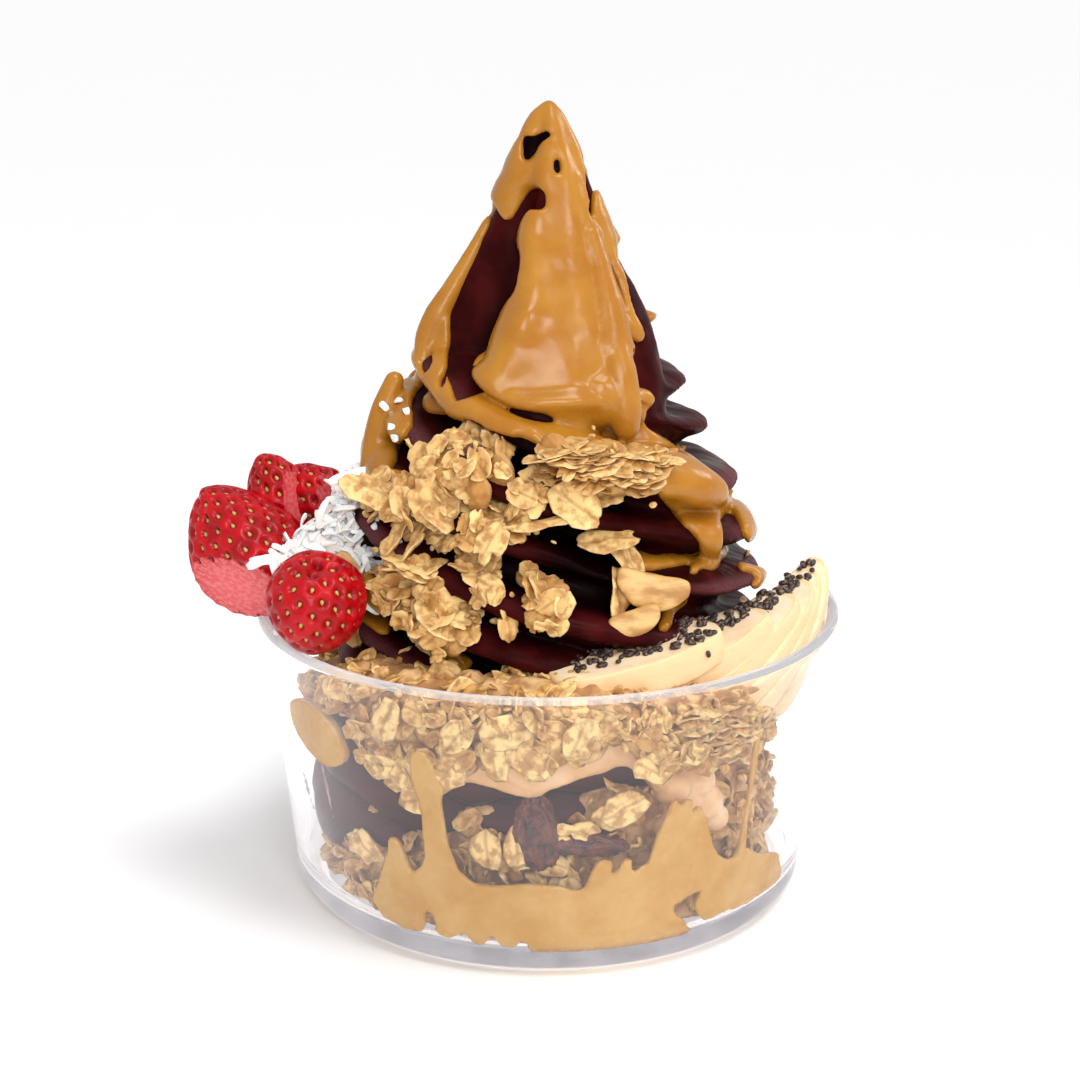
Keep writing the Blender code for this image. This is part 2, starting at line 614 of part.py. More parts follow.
CLUSTERS = {                 # spot on the front elevation, half size, lean and flakes
    "granola_slab": ((13.0, 110.5), (19.0, 7.0), -0.06, 7),
    "granola_crag": ((-21.7, 110.5), (14.0, 10.5), 0.35, 6),
    "granola_cluster_left": ((-37.0, 99.5), (14.0, 8.5), -0.3, 6),
    "granola_strip": ((-15.0, 94.0), (14.0, 5.0), 0.25, 5),
    "granola_chip": ((-18.3, 80.5), (6.0, 9.5), 0.0, 5),
    "granola_knot": ((-1.3, 74.5), (6.5, 8.5), 0.0, 5),
    "granola_cluster_low": ((-37.5, 80.0), (10.0, 6.5), -0.2, 5),
    "granola_cluster_foot": ((-28.0, 68.5), (12.5, 8.5), 0.1, 6),
}


def toppings(body):
    """Granola clusters and a slice of nut on the swirl's front."""
    rng = random.Random(11)
    oats = material("granola", (0.85, 0.55, 0.22), 0.75)
    tree = BVHTree.FromObject(body, bpy.context.evaluated_depsgraph_get())
    made = [cluster(name, tree, spot, size, lean, count, oats, rng)
            for name, (spot, size, lean, count) in CLUSTERS.items()]
    centre, _ = surface_point(tree, (27.5, 76.5))
    out = Vector((centre.x, centre.y, 0)).normalized()
    bm = bmesh.new()
    bmesh.ops.create_cone(bm, cap_ends=True, segments=12, radius1=1.0, radius2=0.85, depth=1.0)
    bmesh.ops.scale(bm, vec=(9.5, 4.6, 3.4), verts=bm.verts)
    turn = Matrix((Vector((-out.y, out.x, 0.35)), Vector((0, -0.3, 1)), out)).transposed().to_4x4()
    bmesh.ops.transform(bm, matrix=Matrix.Translation(centre + out * 2.2) @ turn, verts=bm.verts)
    bmesh.ops.recalc_face_normals(bm, faces=bm.faces)
    made.append(add(bm, "nut_slice", oats))
    return made


def lump(name, centre, radii, azimuth, tilt, mat, segments=12, rings=8, wrinkle=0.0):
    """A rounded piece with one axis facing out from the cup at the azimuth."""
    bm = bmesh.new()
    bmesh.ops.create_uvsphere(bm, u_segments=segments, v_segments=rings, radius=1.0)
    for vert in bm.verts:
        swell = 1 + wrinkle * math.sin(5 * vert.co.x + 1) * math.sin(6 * vert.co.z + 4 * vert.co.y)
        vert.co = Vector((vert.co.x * radii[0], vert.co.y * radii[1], vert.co.z * radii[2])) * swell
    turn = Matrix.Rotation(azimuth, 4, "Z") @ Matrix.Rotation(tilt, 4, "X")
    bmesh.ops.transform(bm, matrix=Matrix.Translation(centre) @ turn, verts=bm.verts)
    return add(bm, name, mat)


def polar(radius, degrees, z):
    """A point (mm) at a radius, azimuth and height."""
    a = math.radians(degrees)
    return Vector((radius * math.cos(a), radius * math.sin(a), z))


def pieces_at_the_glass():
    """Two dried fruits and a drop of sauce pressed against the inside of the glass."""
    fruit = material("dried_fruit", (0.09, 0.025, 0.03), 0.6)
    sauce = material("peanut_butter", (0.66, 0.29, 0.045), 0.3)
    return [
        lump("dried_fruit_upright", polar(61.3, -92.5, 32.5), (3.2, 4.8, 9.5), math.radians(-92.5),
             0.15, fruit, wrinkle=0.12),
        lump("dried_fruit_flat", polar(60.3, -77.5, 28.5), (2.8, 10.0, 3.0), math.radians(-77.5),
             -0.1, fruit, wrinkle=0.12),
        lump("peanut_butter_drop", polar(65.0, -153, 49.0), (2.6, 6.6, 9.8), math.radians(-153),
             -0.45, sauce)]


# ---- berries and coconut -----------------------------------------------------------------
def berry(name, centre, tip, length, width, mat, cuts=()):
    """A strawberry or a part of one: tip is its direction, cuts are planes that open it."""
    bm = bmesh.new()
    bmesh.ops.create_uvsphere(bm, u_segments=12, v_segments=9, radius=1.0)
    for vert in bm.verts:
        t = (vert.co.z + 1) / 2
        girth = 1.0 - 0.32 * t ** 1.6 + 0.08 * math.sin(3.0 * t)
        vert.co = Vector((vert.co.x * width / 2 * girth, vert.co.y * width / 2 * girth,
                          vert.co.z * length / 2))
    for point, normal in cuts:
        result = bmesh.ops.bisect_plane(bm, geom=bm.verts[:] + bm.edges[:] + bm.faces[:],
                                        plane_co=point, plane_no=normal, clear_outer=True)
        rim = [g for g in result["geom_cut"] if isinstance(g, bmesh.types.BMEdge)]
        bmesh.ops.holes_fill(bm, edges=rim, sides=0)
    turn = Vector(tip).to_track_quat("Z", "Y").to_matrix().to_4x4()
    bmesh.ops.transform(bm, matrix=Matrix.Translation(centre) @ turn, verts=bm.verts)
    bmesh.ops.triangulate(bm, faces=bm.faces)
    bmesh.ops.recalc_face_normals(bm, faces=bm.faces)
    return add(bm, name, mat)


def berries():
    """Cut strawberries leaning on the left of the rim."""
    red = material("strawberry", (0.62, 0.008, 0.016), 0.3)
    return [
        berry("berry_front", (-56.5, -38.5, 85.5), (-0.15, 0.45, -1), 27, 24.5, red),
        berry("berry_left", (-77, -11, 90.5), (-0.55, 0.2, 0.75), 36, 29, red,
              [((0, -1.5, 0), (-0.25, -1, 0.1))]),
        berry("berry_wedge", (-68.5, 2, 101), (-0.45, 0, 1), 25, 19, red,
              [((3.5, 0, 0), (1, -0.15, 0)), ((0, 4.5, 0), (0, 1, 0))]),
        berry("berry_slice", (-59, 5, 100.5), (-0.8, 0.1, 0.75), 22, 17, red,
              [((2, 0, 0), (1, -0.2, 0.1)), ((0, 4, 0), (0, 1, 0))]),
        berry("berry_end", (-53, 9, 98), (-0.3, 0.1, 1), 13, 10, red, [((0, 0, -2), (0, 0, -1))])]


HEAP_HEART = Vector((-57.5, -19, 86.5))
HEAP_SIZE = (10.0, 13.5, 14.5)


def coconut_core():
    """The plain heart of the coconut heap between the berries and the swirl."""
    white = material("coconut", (0.86, 0.82, 0.76), 0.6)
    return lump("coconut_heap", HEAP_HEART, HEAP_SIZE, 0.35, 0.3, white, 14, 9, wrinkle=0.05)


def coconut_strips(body, others):
    """Shreds lying all over the coconut heap, clear of what surrounds it."""
    rng = random.Random(7)
    strips = []
    for i in range(30):
        a = math.radians(160 + 140 * (i * 0.618 % 1.0))
        rise = math.radians(-30 + 115 * (i * 0.381 % 1.0))
        out = Vector((math.cos(a) * math.cos(rise), math.sin(a) * math.cos(rise), math.sin(rise)))
        place = HEAP_HEART + Vector([o * s for o, s in zip(out, HEAP_SIZE)])
        bm = bmesh.new()
        bmesh.ops.create_cube(bm, size=1.0)
        bmesh.ops.scale(bm, vec=(rng.uniform(8, 12), 1.8, 1.0), verts=bm.verts)
        facing = (out + Vector([rng.uniform(-0.4, 0.4) for _ in range(3)])).normalized()
        turn = facing.to_track_quat("Z", "X").to_matrix().to_4x4()
        spin = Matrix.Rotation(rng.uniform(0, 3.1), 4, "Z")
        bmesh.ops.transform(bm, matrix=Matrix.Translation(place) @ turn @ spin, verts=bm.verts)
        strip = add(bm, "strip", where=CUTTERS)
        if clear_of(strip, others):
            strips.append(strip)
    return fuse(body, strips[:15], keep=0.6)


# ---- banana ------------------------------------------------------------------------------
BANANA_EDGES = [             # azimuth, radius and height of the two ends of each slice's edge
    ((-88, 65.5, 73.8), (-50, 65.5, 80.6)),
    ((-79, 65.5, 66.2), (-32, 66.5, 80.6)),
    ((-64, 66.0, 62.5), (-17, 69.0, 81.5)),
    ((-51, 66.5, 60.0), (-5, 72.0, 82.0)),
    ((-39, 67.0, 58.0), (4, 74.5, 83.0)),
    ((-27, 67.5, 56.0), (12, 76.0, 84.0))]
BANANA_DEPTH = 24.0
BANANA_THICK = (8.0, 7.4, 6.6, 6.0, 5.6, 6.0)


def banana(done):
    """Slices fanned along the right of the rim, with chia seeds along their inner edges."""
    rng = random.Random(3)
    flesh = material("banana", (0.93, 0.76, 0.44), 0.5)
    around_swirl = [(0, 45)] + [(r + 2.4, z) for z, r in COIL_ENVELOPE[1:7]] + [(0, 103)]
    envelope = settle(turned("envelope", around_swirl[::-1], 40, where=CUTTERS))
    made = []
    frames = []
    for number, ((low, high), thick) in enumerate(zip(BANANA_EDGES, BANANA_THICK), 1):
        start = polar(low[1], low[0], low[2])
        end = polar(high[1], high[0], high[2])
        run = end - start
        length = run.length + 3.0
        run.normalize()
        middle = (start + end) / 2
        inward = Vector((-middle.x, -middle.y, 0)).normalized()
        inward = (inward - run * inward.dot(run)).normalized()
        normal = run.cross(inward)
        bm = bmesh.new()
        bmesh.ops.create_cone(bm, cap_ends=True, segments=18, radius1=0.5, radius2=0.5, depth=1.0)
        for vert in bm.verts:
            vert.co.y = math.copysign(abs(vert.co.y * 2) ** 0.75 / 2, vert.co.y)
        bmesh.ops.scale(bm, vec=(length, BANANA_DEPTH, thick), verts=bm.verts)
        rims = [e for e in bm.edges if abs(e.verts[0].co.z - e.verts[1].co.z) < 0.1]
        bmesh.ops.bevel(bm, geom=rims, offset=0.9, segments=1, affect="EDGES")
        frame = Matrix((run, inward, normal)).transposed().to_4x4()
        centre = middle + inward * BANANA_DEPTH / 2
        bmesh.ops.transform(bm, matrix=Matrix.Translation(centre) @ frame, verts=bm.verts)
        bmesh.ops.triangulate(bm, faces=bm.faces)
        piece = add(bm, "banana_slice_%d" % number, flesh)
        trim(piece, [envelope] + done + made)
        made.append(piece)
        frames.append((middle + normal * (thick / 2 + SEED_SIZE[2] / 3), frame, length))
    bpy.data.objects.remove(envelope)
    for piece, (top, frame, length) in zip(made, frames):
        others = [other for other in done + made if other is not piece and overlaps(piece, other, 3.0)]
        seeds = [seed for seed in chia(top, frame, length, rng) if clear_of(seed, others)]
        fuse(piece, seeds, keep=0.72)
    return made


def chia(top, frame, length, rng):
    """A few seeds towards the high end of one slice's upper face."""
    seeds = []
    for i in range(5):
        bm = bmesh.new()
        bmesh.ops.create_icosphere(bm, subdivisions=1, radius=1.0)
        bmesh.ops.scale(bm, vec=SEED_SIZE, verts=bm.verts)
        spot = Vector((length * (0.43 - 0.13 * i), rng.uniform(1.5, 7.0), 0))
        spin = Matrix.Rotation(rng.uniform(0, 3.1), 4, "Z")
        place = Matrix.Translation(top) @ frame @ Matrix.Translation(spot) @ spin
        bmesh.ops.transform(bm, matrix=place, verts=bm.verts)
        seeds.append(add(bm, "seed", where=CUTTERS))
    return seeds


def clear_of(bit, others):
    """Whether a small piece, with its clearance, touches none of the others."""
    shell = grown(bit, CLEARANCE)
    graph = bpy.context.evaluated_depsgraph_get()
    tree = BVHTree.FromObject(shell, graph)
    hit = any(tree.overlap(BVHTree.FromObject(other, graph)) for other in others)
    bpy.data.objects.remove(shell)
    if hit:
        bpy.data.objects.remove(bit)
    return not hit


# ---- the scene's collections and the build ------------------------------------------------
for leftover in list(bpy.data.objects):
    bpy.data.objects.remove(leftover)
PARTS = bpy.data.collections.new("cup_of_soft_serve")
CUTTERS = bpy.data.collections.new("cutters")
bpy.context.scene.collection.children.link(PARTS)
bpy.context.scene.collection.children.link(CUTTERS)

bowl = settle(glass_bowl())
base = sauce_on_glass()
fillings = layers()
for filling in fillings:
    trim(filling, [bowl, base])
done = [bowl, base] + fillings
for piece in pieces_at_the_glass():
    done.append(trim(piece, done))
peak = trim(swirl(), [bowl] + fillings)
done.append(peak)
heap = coconut_core()
for piece in toppings(peak) + [heap] + berries():
    done.append(trim(piece, done))
coconut_strips(heap, [other for other in done if other is not heap])
banana(done)
for leftover in list(CUTTERS.objects):
    bpy.data.objects.remove(leftover)
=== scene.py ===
"""A dressed cup of soft serve: a clear glass bowl of layered soft serve, sauce and granola
under a tall piped swirl, with berries, coconut and banana on it.

Lengths in the code are millimetres unless a name says otherwise, and MM turns them to metres.
Outlines on the front of the cup are drawn on the upright plane y = 0 as seen from EYE.
"""
import json
import math

import bpy
import numpy as np
from bpy.props import FloatProperty, FloatVectorProperty, PointerProperty
from mathutils import Matrix, Vector
from mathutils.bvhtree import BVHTree

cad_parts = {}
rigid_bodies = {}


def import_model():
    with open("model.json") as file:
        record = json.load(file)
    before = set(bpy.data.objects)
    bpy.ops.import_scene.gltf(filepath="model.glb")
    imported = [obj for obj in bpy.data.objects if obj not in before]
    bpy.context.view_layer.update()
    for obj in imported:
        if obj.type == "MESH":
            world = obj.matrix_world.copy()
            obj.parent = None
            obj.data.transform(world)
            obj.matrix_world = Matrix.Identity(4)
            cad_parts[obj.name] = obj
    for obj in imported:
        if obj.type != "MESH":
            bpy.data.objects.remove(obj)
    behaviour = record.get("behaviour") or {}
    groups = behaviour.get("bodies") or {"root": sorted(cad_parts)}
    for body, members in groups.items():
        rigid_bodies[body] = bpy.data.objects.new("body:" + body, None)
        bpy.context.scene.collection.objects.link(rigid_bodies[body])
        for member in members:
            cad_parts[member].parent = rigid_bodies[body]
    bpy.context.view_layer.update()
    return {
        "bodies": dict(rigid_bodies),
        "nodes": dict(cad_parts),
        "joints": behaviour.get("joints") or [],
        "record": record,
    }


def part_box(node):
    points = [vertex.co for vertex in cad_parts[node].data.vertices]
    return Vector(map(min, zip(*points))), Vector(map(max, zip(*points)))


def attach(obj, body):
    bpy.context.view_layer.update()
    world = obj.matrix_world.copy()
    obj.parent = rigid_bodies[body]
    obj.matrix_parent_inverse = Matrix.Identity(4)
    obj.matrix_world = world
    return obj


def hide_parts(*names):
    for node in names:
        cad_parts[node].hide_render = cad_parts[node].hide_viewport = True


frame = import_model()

bl_info = {
    "name": "Cup of soft serve",
    "version": (1, 0, 0),
    "blender": (4, 5, 0),
    "location": "3D View > Sidebar > Soft Serve",
    "description": "Builds a glass bowl of layered soft serve with sauce, granola, berries and banana",
    "category": "Add Mesh",
}

MM = 0.001
EYE = np.array([-2.1, -568.4, 262.3])         # the camera, in mm
EYE_TILT = 73.19                              # degrees up from straight down
EYE_AWAY = 560                                # mm from the camera to the swirl, roughly
TAU = 2 * math.pi

# ---- the swirl's form --------------------------------------------------------------------
SWIRL_TOP = 203.0
COIL_PITCH = 25.0
COIL_TILT = 10.0
COIL_START = -60.0                            # azimuth in degrees
COIL_TURNS = 5
ROPE_SECTION = [(-26, 12.5), (-10, 12.8), (-3.5, 11), (-0.3, 8.6), (0, 7), (-2, 5.6), (-7, 4.6), (-10, 1),
    (-9, -1.6), (-3, -2.2), (-0.4, -4), (-0.2, -6), (-3, -8), (-8, -9.2), (-10.5, -12), (-26, -12.5)]
COIL_ENVELOPE = [(40, 52), (50, 53), (60, 55), (74, 55.5), (85, 55), (95, 53.5), (103, 50.5), (111, 48),
    (118, 44.5), (126, 41), (134, 36), (142, 32), (150, 27), (158, 20), (170, 10)]
SPIRE_ENVELOPE = [(100, 33), (122, 32), (134, 31.5), (142, 29.5), (150, 26.5), (157, 22.5), (165, 18),
    (172, 14.8), (179, 12), (187, 9), (194, 6), (199, 3.6), (203, 0.3)]
HOLLOW = (-70.0, 38.0, 98.0, 7.5, 8.0)        # azimuth, its spread, height, its spread, depth
VALLEY_LINE = [(120, -138), (140, -134), (160, -129), (176, -122), (196, -112)]   # height, azimuth
SPIRE_FOLDS = (-51, 9, 69, 129)               # azimuths of the smaller folds

# ---- outlines of the sauce on the swirl's front: (x, z) -----------------------------------
SHEET = [(-15.1, 181.3), (-8.2, 195.3), (-4.8, 206), (1.3, 206), (5.8, 195.9), (9.2, 189.7), (16.7, 172.8),
    (16.2, 164.2), (19.1, 159), (20.9, 150.8), (24.2, 145), (23.3, 142.1), (21.6, 142.4), (20.1, 144.4),
    (20.6, 142.6), (21.6, 138.2), (21.4, 136.2), (19.4, 133.8), (18.5, 132.3), (19.4, 131.4), (22.3, 131.5),
    (25.2, 130.5), (26.3, 128.1), (25.6, 126.1), (24.4, 123.7), (24.8, 120.7), (26.2, 119.8), (30.7, 116.4),
    (36.8, 110.6), (43.6, 106.3), (46.7, 102.4), (48.4, 96.5), (46.1, 98.1), (43.9, 94.9), (43.6, 91),
    (45.2, 85.4), (44.1, 82.7), (42, 82.1), (40.3, 83.1), (38.5, 81.1), (36.6, 81.1), (36.2, 82.7),
    (38, 86.2), (38.9, 89.4), (36.8, 92.6), (31.8, 97.3), (28.7, 102), (26.4, 105.9), (18.8, 112.9),
    (-0.7, 114.8), (-5.2, 116.4), (-8.9, 117.5), (-14.1, 119.4), (-17.1, 121.4), (-21.5, 123.3),
    (-26.7, 123.7), (-30.5, 124), (-32.3, 125.6), (-31.9, 127.9), (-29.6, 129), (-31.4, 133.8),
    (-29.3, 135.6), (-29.2, 140.9), (-29.3, 145), (-31.8, 141.5), (-33.3, 140.3), (-37, 142.1), (-37, 146),
    (-31, 157), (-21.5, 170)]
LEFT_RUN = [(-35.3, 140.9), (-31.3, 141.2), (-32.2, 137.3), (-31.4, 135), (-30.5, 132.6), (-33.5, 129),
    (-34.4, 126.1), (-33.9, 122.5), (-34.2, 119.5), (-34.6, 120.6), (-36.5, 117.1), (-38.1, 114.4),
    (-37.8, 112.1), (-40.4, 109), (-36.3, 108.6), (-36.4, 105.9), (-39.8, 102), (-45.8, 102.8),
    (-49, 104.3), (-48.5, 107.5), (-46.4, 110.9), (-47.2, 114.4), (-48.1, 118.3), (-46.9, 122.1),
    (-44.6, 126), (-43.7, 127.2), (-40.1, 131.4), (-38.1, 136.8)]
STUB = [(-27.1, 131.4), (-26.3, 133.8), (-25.3, 133.9), (-24.1, 131.7), (-22.9, 127.2), (-24.8, 126.5),
    (-27.2, 127.5)]
HOOK = [(46.7, 102.4), (51.4, 98.1), (53.1, 93.4), (53.3, 88.6), (52, 85.8), (50, 86.4), (50.8, 91),
    (48.5, 96.1), (46.5, 98.1)]
FINGER = [(22.1, 87.8), (25.9, 85.4), (31.2, 86.2), (36.5, 87), (38.2, 85.8), (37.3, 83.9), (32, 83.1),
    (26.7, 81.9), (22.9, 82.3)]
COLUMN = [(33.6, 79.1), (37, 77.1), (35.9, 74.7), (32.9, 71.8), (32.3, 65.4), (28.4, 65.4), (28.7, 70.2),
    (29.8, 75.1)]
LOWER_LEFT = [(-49.3, 83.1), (-45.5, 82.3), (-42.6, 76.7), (-41.2, 70.2), (-40.5, 65.4), (-42.9, 64.2),
    (-46.6, 66.2), (-50.5, 70.2), (-50.7, 76.7)]
BOTTOM_DRIP = [(-31.4, 60.5), (-25.3, 60.5), (-19.9, 58.9), (-19.3, 56), (-21.5, 54), (-23.4, 52.3),
    (-26.1, 56.4), (-29.1, 58.1)]
HOOK_LOW = [(47.9, 84.2), (52.5, 83.1), (57.9, 82.3), (57.6, 79.1), (52.7, 74.3), (49.7, 71.8), (48.9, 73),
    (52.6, 78.3), (54.1, 81.1), (50.2, 81.9)]
SAUCE_SHAPES = [SHEET, LEFT_RUN, STUB, HOOK, FINGER, COLUMN, LOWER_LEFT, BOTTOM_DRIP, HOOK_LOW]
VALLEY = [(-14.2, 178.7), (-13.3, 178.7), (-12.4, 176.5), (-11.9, 174.2), (-10.5, 172.5), (-8.3, 173.9),
    (-6.9, 176.5), (-5.2, 179.3), (-3.7, 180.8), (-2, 181.1), (-1, 180), (-0.9, 177.3), (-1.5, 175.5),
    (-3.1, 176.1), (-4.3, 173.9), (-5.3, 171.6), (-6, 168.8), (-6, 165.9), (-5.5, 164.7), (-5.9, 162.4),
    (-6.6, 159.6), (-7.8, 154.6), (-9.2, 152.6), (-10.7, 149.1), (-12.5, 145.6), (-14.5, 141.5),
    (-15.6, 137.9), (-15.9, 133.8), (-15.2, 130.2), (-13.7, 127.8), (-12, 125.9), (-8.5, 124.9),
    (-2.7, 124.6), (0.2, 123.4), (1.4, 121.9), (-0.3, 121.1), (-3.3, 121.3), (-7.3, 122.5), (-10.8, 124.3),
    (-13.7, 126.1), (-15.5, 127.8), (-17.2, 129), (-19.2, 128.1), (-20.7, 126.9), (-22.8, 126.7),
    (-24.2, 131.4), (-25.3, 133.8), (-26.4, 133.8), (-27.1, 131.4), (-26.6, 129), (-25.2, 136.2),
    (-24.4, 141.5), (-24.5, 146.2), (-24.4, 150.8), (-23.4, 154.3), (-21.5, 158.4), (-19, 163),
    (-16.5, 168.2), (-14.5, 172.8), (-13.3, 177.3)]
TIP_HOLE = [(-6.5, 193.9), (-3.7, 193.6), (-1.5, 194.6), (-0.1, 194.9), (0.7, 194.2), (-0.3, 193.6),
    (-2, 192), (-3.4, 189.7), (-5.1, 187.9), (-6, 188.6), (-6.1, 191.4)]
SLIT = [(1.6, 189.7), (2.8, 186.9), (2.5, 184.4), (1.8, 184.7), (1.5, 187.5)]
SLIVER_HIGH = [(7.8, 190.3), (8.8, 188.3), (10.4, 184.7), (11.2, 182.1), (10.4, 178.4), (10.2, 174.5),
    (9.6, 173.8), (9, 175.6), (9.2, 180.7), (8.8, 185.2), (7.8, 189.2)]
SLIVER_LOW = [(13.9, 163.3), (15.7, 159.6), (17.4, 155.5), (18.9, 150.8), (18.2, 152), (16.3, 155.5),
    (14.6, 158.4), (13.3, 161)]
WINDOW = [(-10, 117.5), (-6.6, 117.9), (-2.2, 115.6), (-1.4, 113.3), (-5.2, 113.7), (-8.9, 115.6)]
SAUCE_HOLES = [VALLEY, TIP_HOLE, SLIT, SLIVER_HIGH, SLIVER_LOW, WINDOW]


# ---- settings a user would change ----------------------------------------------------------
def length(name, description, default_mm):
    """A length property in metres whose default is given in mm."""
    return FloatProperty(name=name, description=description, default=default_mm * MM,
                         min=0.0, unit="LENGTH", subtype="DISTANCE", precision=4)


def colour(name, description, default):
    """A linear colour property."""
    return FloatVectorProperty(name=name, description=description, default=default, size=3,
                               min=0.0, max=1.0, subtype="COLOR")


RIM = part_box("glass_bowl")[1] / MM


class GlassSettings(bpy.types.PropertyGroup):
    rim_radius: length("Rim radius", "Outer radius of the bowl's rim", RIM.x)
    height: length("Height", "Height of the bowl", RIM.z)
    wall: length("Wall", "Thickness of the glass wall", 3.0)
    floor: length("Floor", "Thickness of the glass floor", 3.4)
    tint: colour("Glass tint", "Colour of the glass", (0.985, 0.992, 1.0))


class SwirlSettings(bpy.types.PropertyGroup):
    grain: length("Grain", "Size of the swirl's mesh cells", 0.95)
    colour: colour("Soft serve", "Colour of the soft serve", (0.036, 0.003, 0.0034))


class SauceSettings(bpy.types.PropertyGroup):
    thickness: length("Thickness", "Thickness of the sauce on the swirl", 1.7)
    grain: length("Grain", "Size of the sauce's mesh cells", 0.5)
    colour: colour("Sauce", "Colour of the nut butter sauce", (0.41, 0.165, 0.012))


# ---- hands for bpy.ops ---------------------------------------------------------------------
def pick(*objects):
    """Select only these objects; the first is active."""
    for other in list(bpy.context.selected_objects):
        other.select_set(False)
    for obj in objects:
        obj.select_set(True)
    bpy.context.view_layer.objects.active = objects[0]


def made(name):
    """Name the primitive that was just added, with its place put into its mesh."""
    obj = bpy.context.active_object
    obj.name = obj.data.name = name
    pick(obj)
    bpy.ops.object.transform_apply(location=True, rotation=True, scale=True)
    return obj


def shape(obj, kind, test, *steps):
    """Select in edit mode what the test picks, then run each step on it."""
    pick(obj)
    bpy.ops.object.mode_set(mode="EDIT")
    bpy.ops.mesh.select_mode(type=kind)
    bpy.ops.mesh.select_all(action="DESELECT")
    bpy.ops.object.mode_set(mode="OBJECT")
    items = {"VERT": obj.data.vertices, "EDGE": obj.data.edges, "FACE": obj.data.polygons}[kind]
    for item in items:
        item.select = bool(test(item))
    bpy.ops.object.mode_set(mode="EDIT")
    for act in steps:
        act()
    bpy.ops.object.mode_set(mode="OBJECT")
    return obj


def everything(_item):
    """A test for shape() that picks all."""
    return True


def outward():
    """A step for shape() that turns every face outwards."""
    bpy.ops.mesh.select_all(action="SELECT")
    bpy.ops.mesh.normals_make_consistent(inside=False)


def apply(obj, kind, **values):
    """Add one modifier and apply it."""
    pick(obj)
    modifier = obj.modifiers.new(kind.lower(), kind)
    for key, value in values.items():
        setattr(modifier, key, value)
    bpy.ops.object.modifier_apply(modifier=modifier.name)
    return obj


def taken(source, key, kind, wide=1):
    """Numbers of one kind that a mesh holds, in rows of this many."""
    flat = np.empty(len(source) * wide, kind)
    source.foreach_get(key, flat)
    return flat.reshape(-1, wide) if wide > 1 else flat


def read(obj):
    """An object's vertices in mm."""
    return taken(obj.data.vertices, "co", np.float32, 3).astype(float) / MM


def write(obj, points):
    """Move an object's vertices to points in mm."""
    obj.data.vertices.foreach_set("co", (points * MM).astype(np.float32).ravel())
    obj.data.update()
    return obj


def facing(obj):
    """An object's vertex normals."""
    return taken(obj.data.vertex_normals, "vector", np.float32, 3).astype(float)


def pairs(obj):
    """An object's edges as pairs of vertex numbers."""
    return taken(obj.data.edges, "vertices", np.int32, 2)


def relaxed(points, edges, rounds):
    """Points drawn halfway to the middle of their neighbours, round after round."""
    count = len(points)
    near = np.bincount(edges.ravel(), minlength=count).clip(1)[:, None]
    for _ in range(rounds):
        total = np.stack([np.bincount(edges[:, 0], points[edges[:, 1], k], count)
                          + np.bincount(edges[:, 1], points[edges[:, 0], k], count)
                          for k in range(3)], axis=1)
        points = points + (total / near - points) * 0.5
    return points


def mesh_piece(name, points, corners, sizes):
    """A mesh object from arrays: points in mm, the faces' corners in a row, and their sizes."""
    mesh = bpy.data.meshes.new(name)
    mesh.vertices.add(len(points))
    mesh.vertices.foreach_set("co", (points * MM).astype(np.float32).ravel())
    mesh.loops.add(len(corners))
    mesh.loops.foreach_set("vertex_index", corners.astype(np.int32))
    mesh.polygons.add(len(sizes))
    starts = np.concatenate([[0], np.cumsum(sizes)[:-1]]).astype(np.int32)
    mesh.polygons.foreach_set("loop_start", starts)
    mesh.polygons.foreach_set("use_smooth", np.full(len(sizes), True))
    mesh.update(calc_edges=True)
    obj = bpy.data.objects.new(name, mesh)
    bpy.context.scene.collection.objects.link(obj)
    return obj


def faces_of(obj):
    """An object's faces as (corners in a row, sizes)."""
    return (taken(obj.data.loops, "vertex_index", np.int32),
            taken(obj.data.polygons, "loop_total", np.int32))


def mark(obj, values):
    """Store three numbers on each vertex for the materials to read."""
    attribute = obj.data.attributes.new("local", "FLOAT_VECTOR", "POINT")
    attribute.data.foreach_set("vector", np.asarray(values, np.float32).ravel())


def joined(objects, name):
    """Join objects into one and name it."""
    pick(*objects)
    bpy.ops.object.join()
    obj = bpy.context.active_object
    obj.name = obj.data.name = name
    return obj


def sphere(name, *detail):
    """A ball of radius 1 and its points: a UV sphere for (segments, rings), else an ico sphere."""
    if len(detail) == 2:
        bpy.ops.mesh.primitive_uv_sphere_add(segments=detail[0], ring_count=detail[1], radius=1.0)
    else:
        bpy.ops.mesh.primitive_ico_sphere_add(subdivisions=detail[0], radius=1.0)
    obj = made(name)
    return obj, read(obj) * MM


def melted(obj, grain, rounds, faces=None):
    """Melt an object into one skin of cells this size in mm, smooth it and thin it to so many faces."""
    apply(obj, "REMESH", mode="VOXEL", voxel_size=grain * MM)
    write(obj, relaxed(read(obj), pairs(obj), rounds))
    if faces:
        apply(obj, "DECIMATE", ratio=min(1.0, faces / len(obj.data.polygons)))
    return obj


def settled(obj, material, slot, *nodes, smooth=True):
    """Finish a piece: its shading, materials (None keeps its own), its ride on the root body and the CAD
    nodes it hides; the slot is not used.
    """
    pick(obj)
    if smooth:
        bpy.ops.object.shade_smooth()
    if material:
        obj.data.materials.clear()
        for one in material if isinstance(material, list) else [material]:
            obj.data.materials.append(one)
    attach(obj, "root")
    if nodes:
        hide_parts(*nodes)
    return obj


# ---- curves and outlines -------------------------------------------------------------------
def columns(*values):
    """Numbers side by side: a row for each point."""
    return np.stack(values, axis=1)


def radius_of(points):
    """Distance of points from the axis."""
    return np.hypot(points[:, 0], points[:, 1])


def azimuth_of(points):
    """Angle of points about the axis, in radians."""
    return np.arctan2(points[:, 1], points[:, 0])


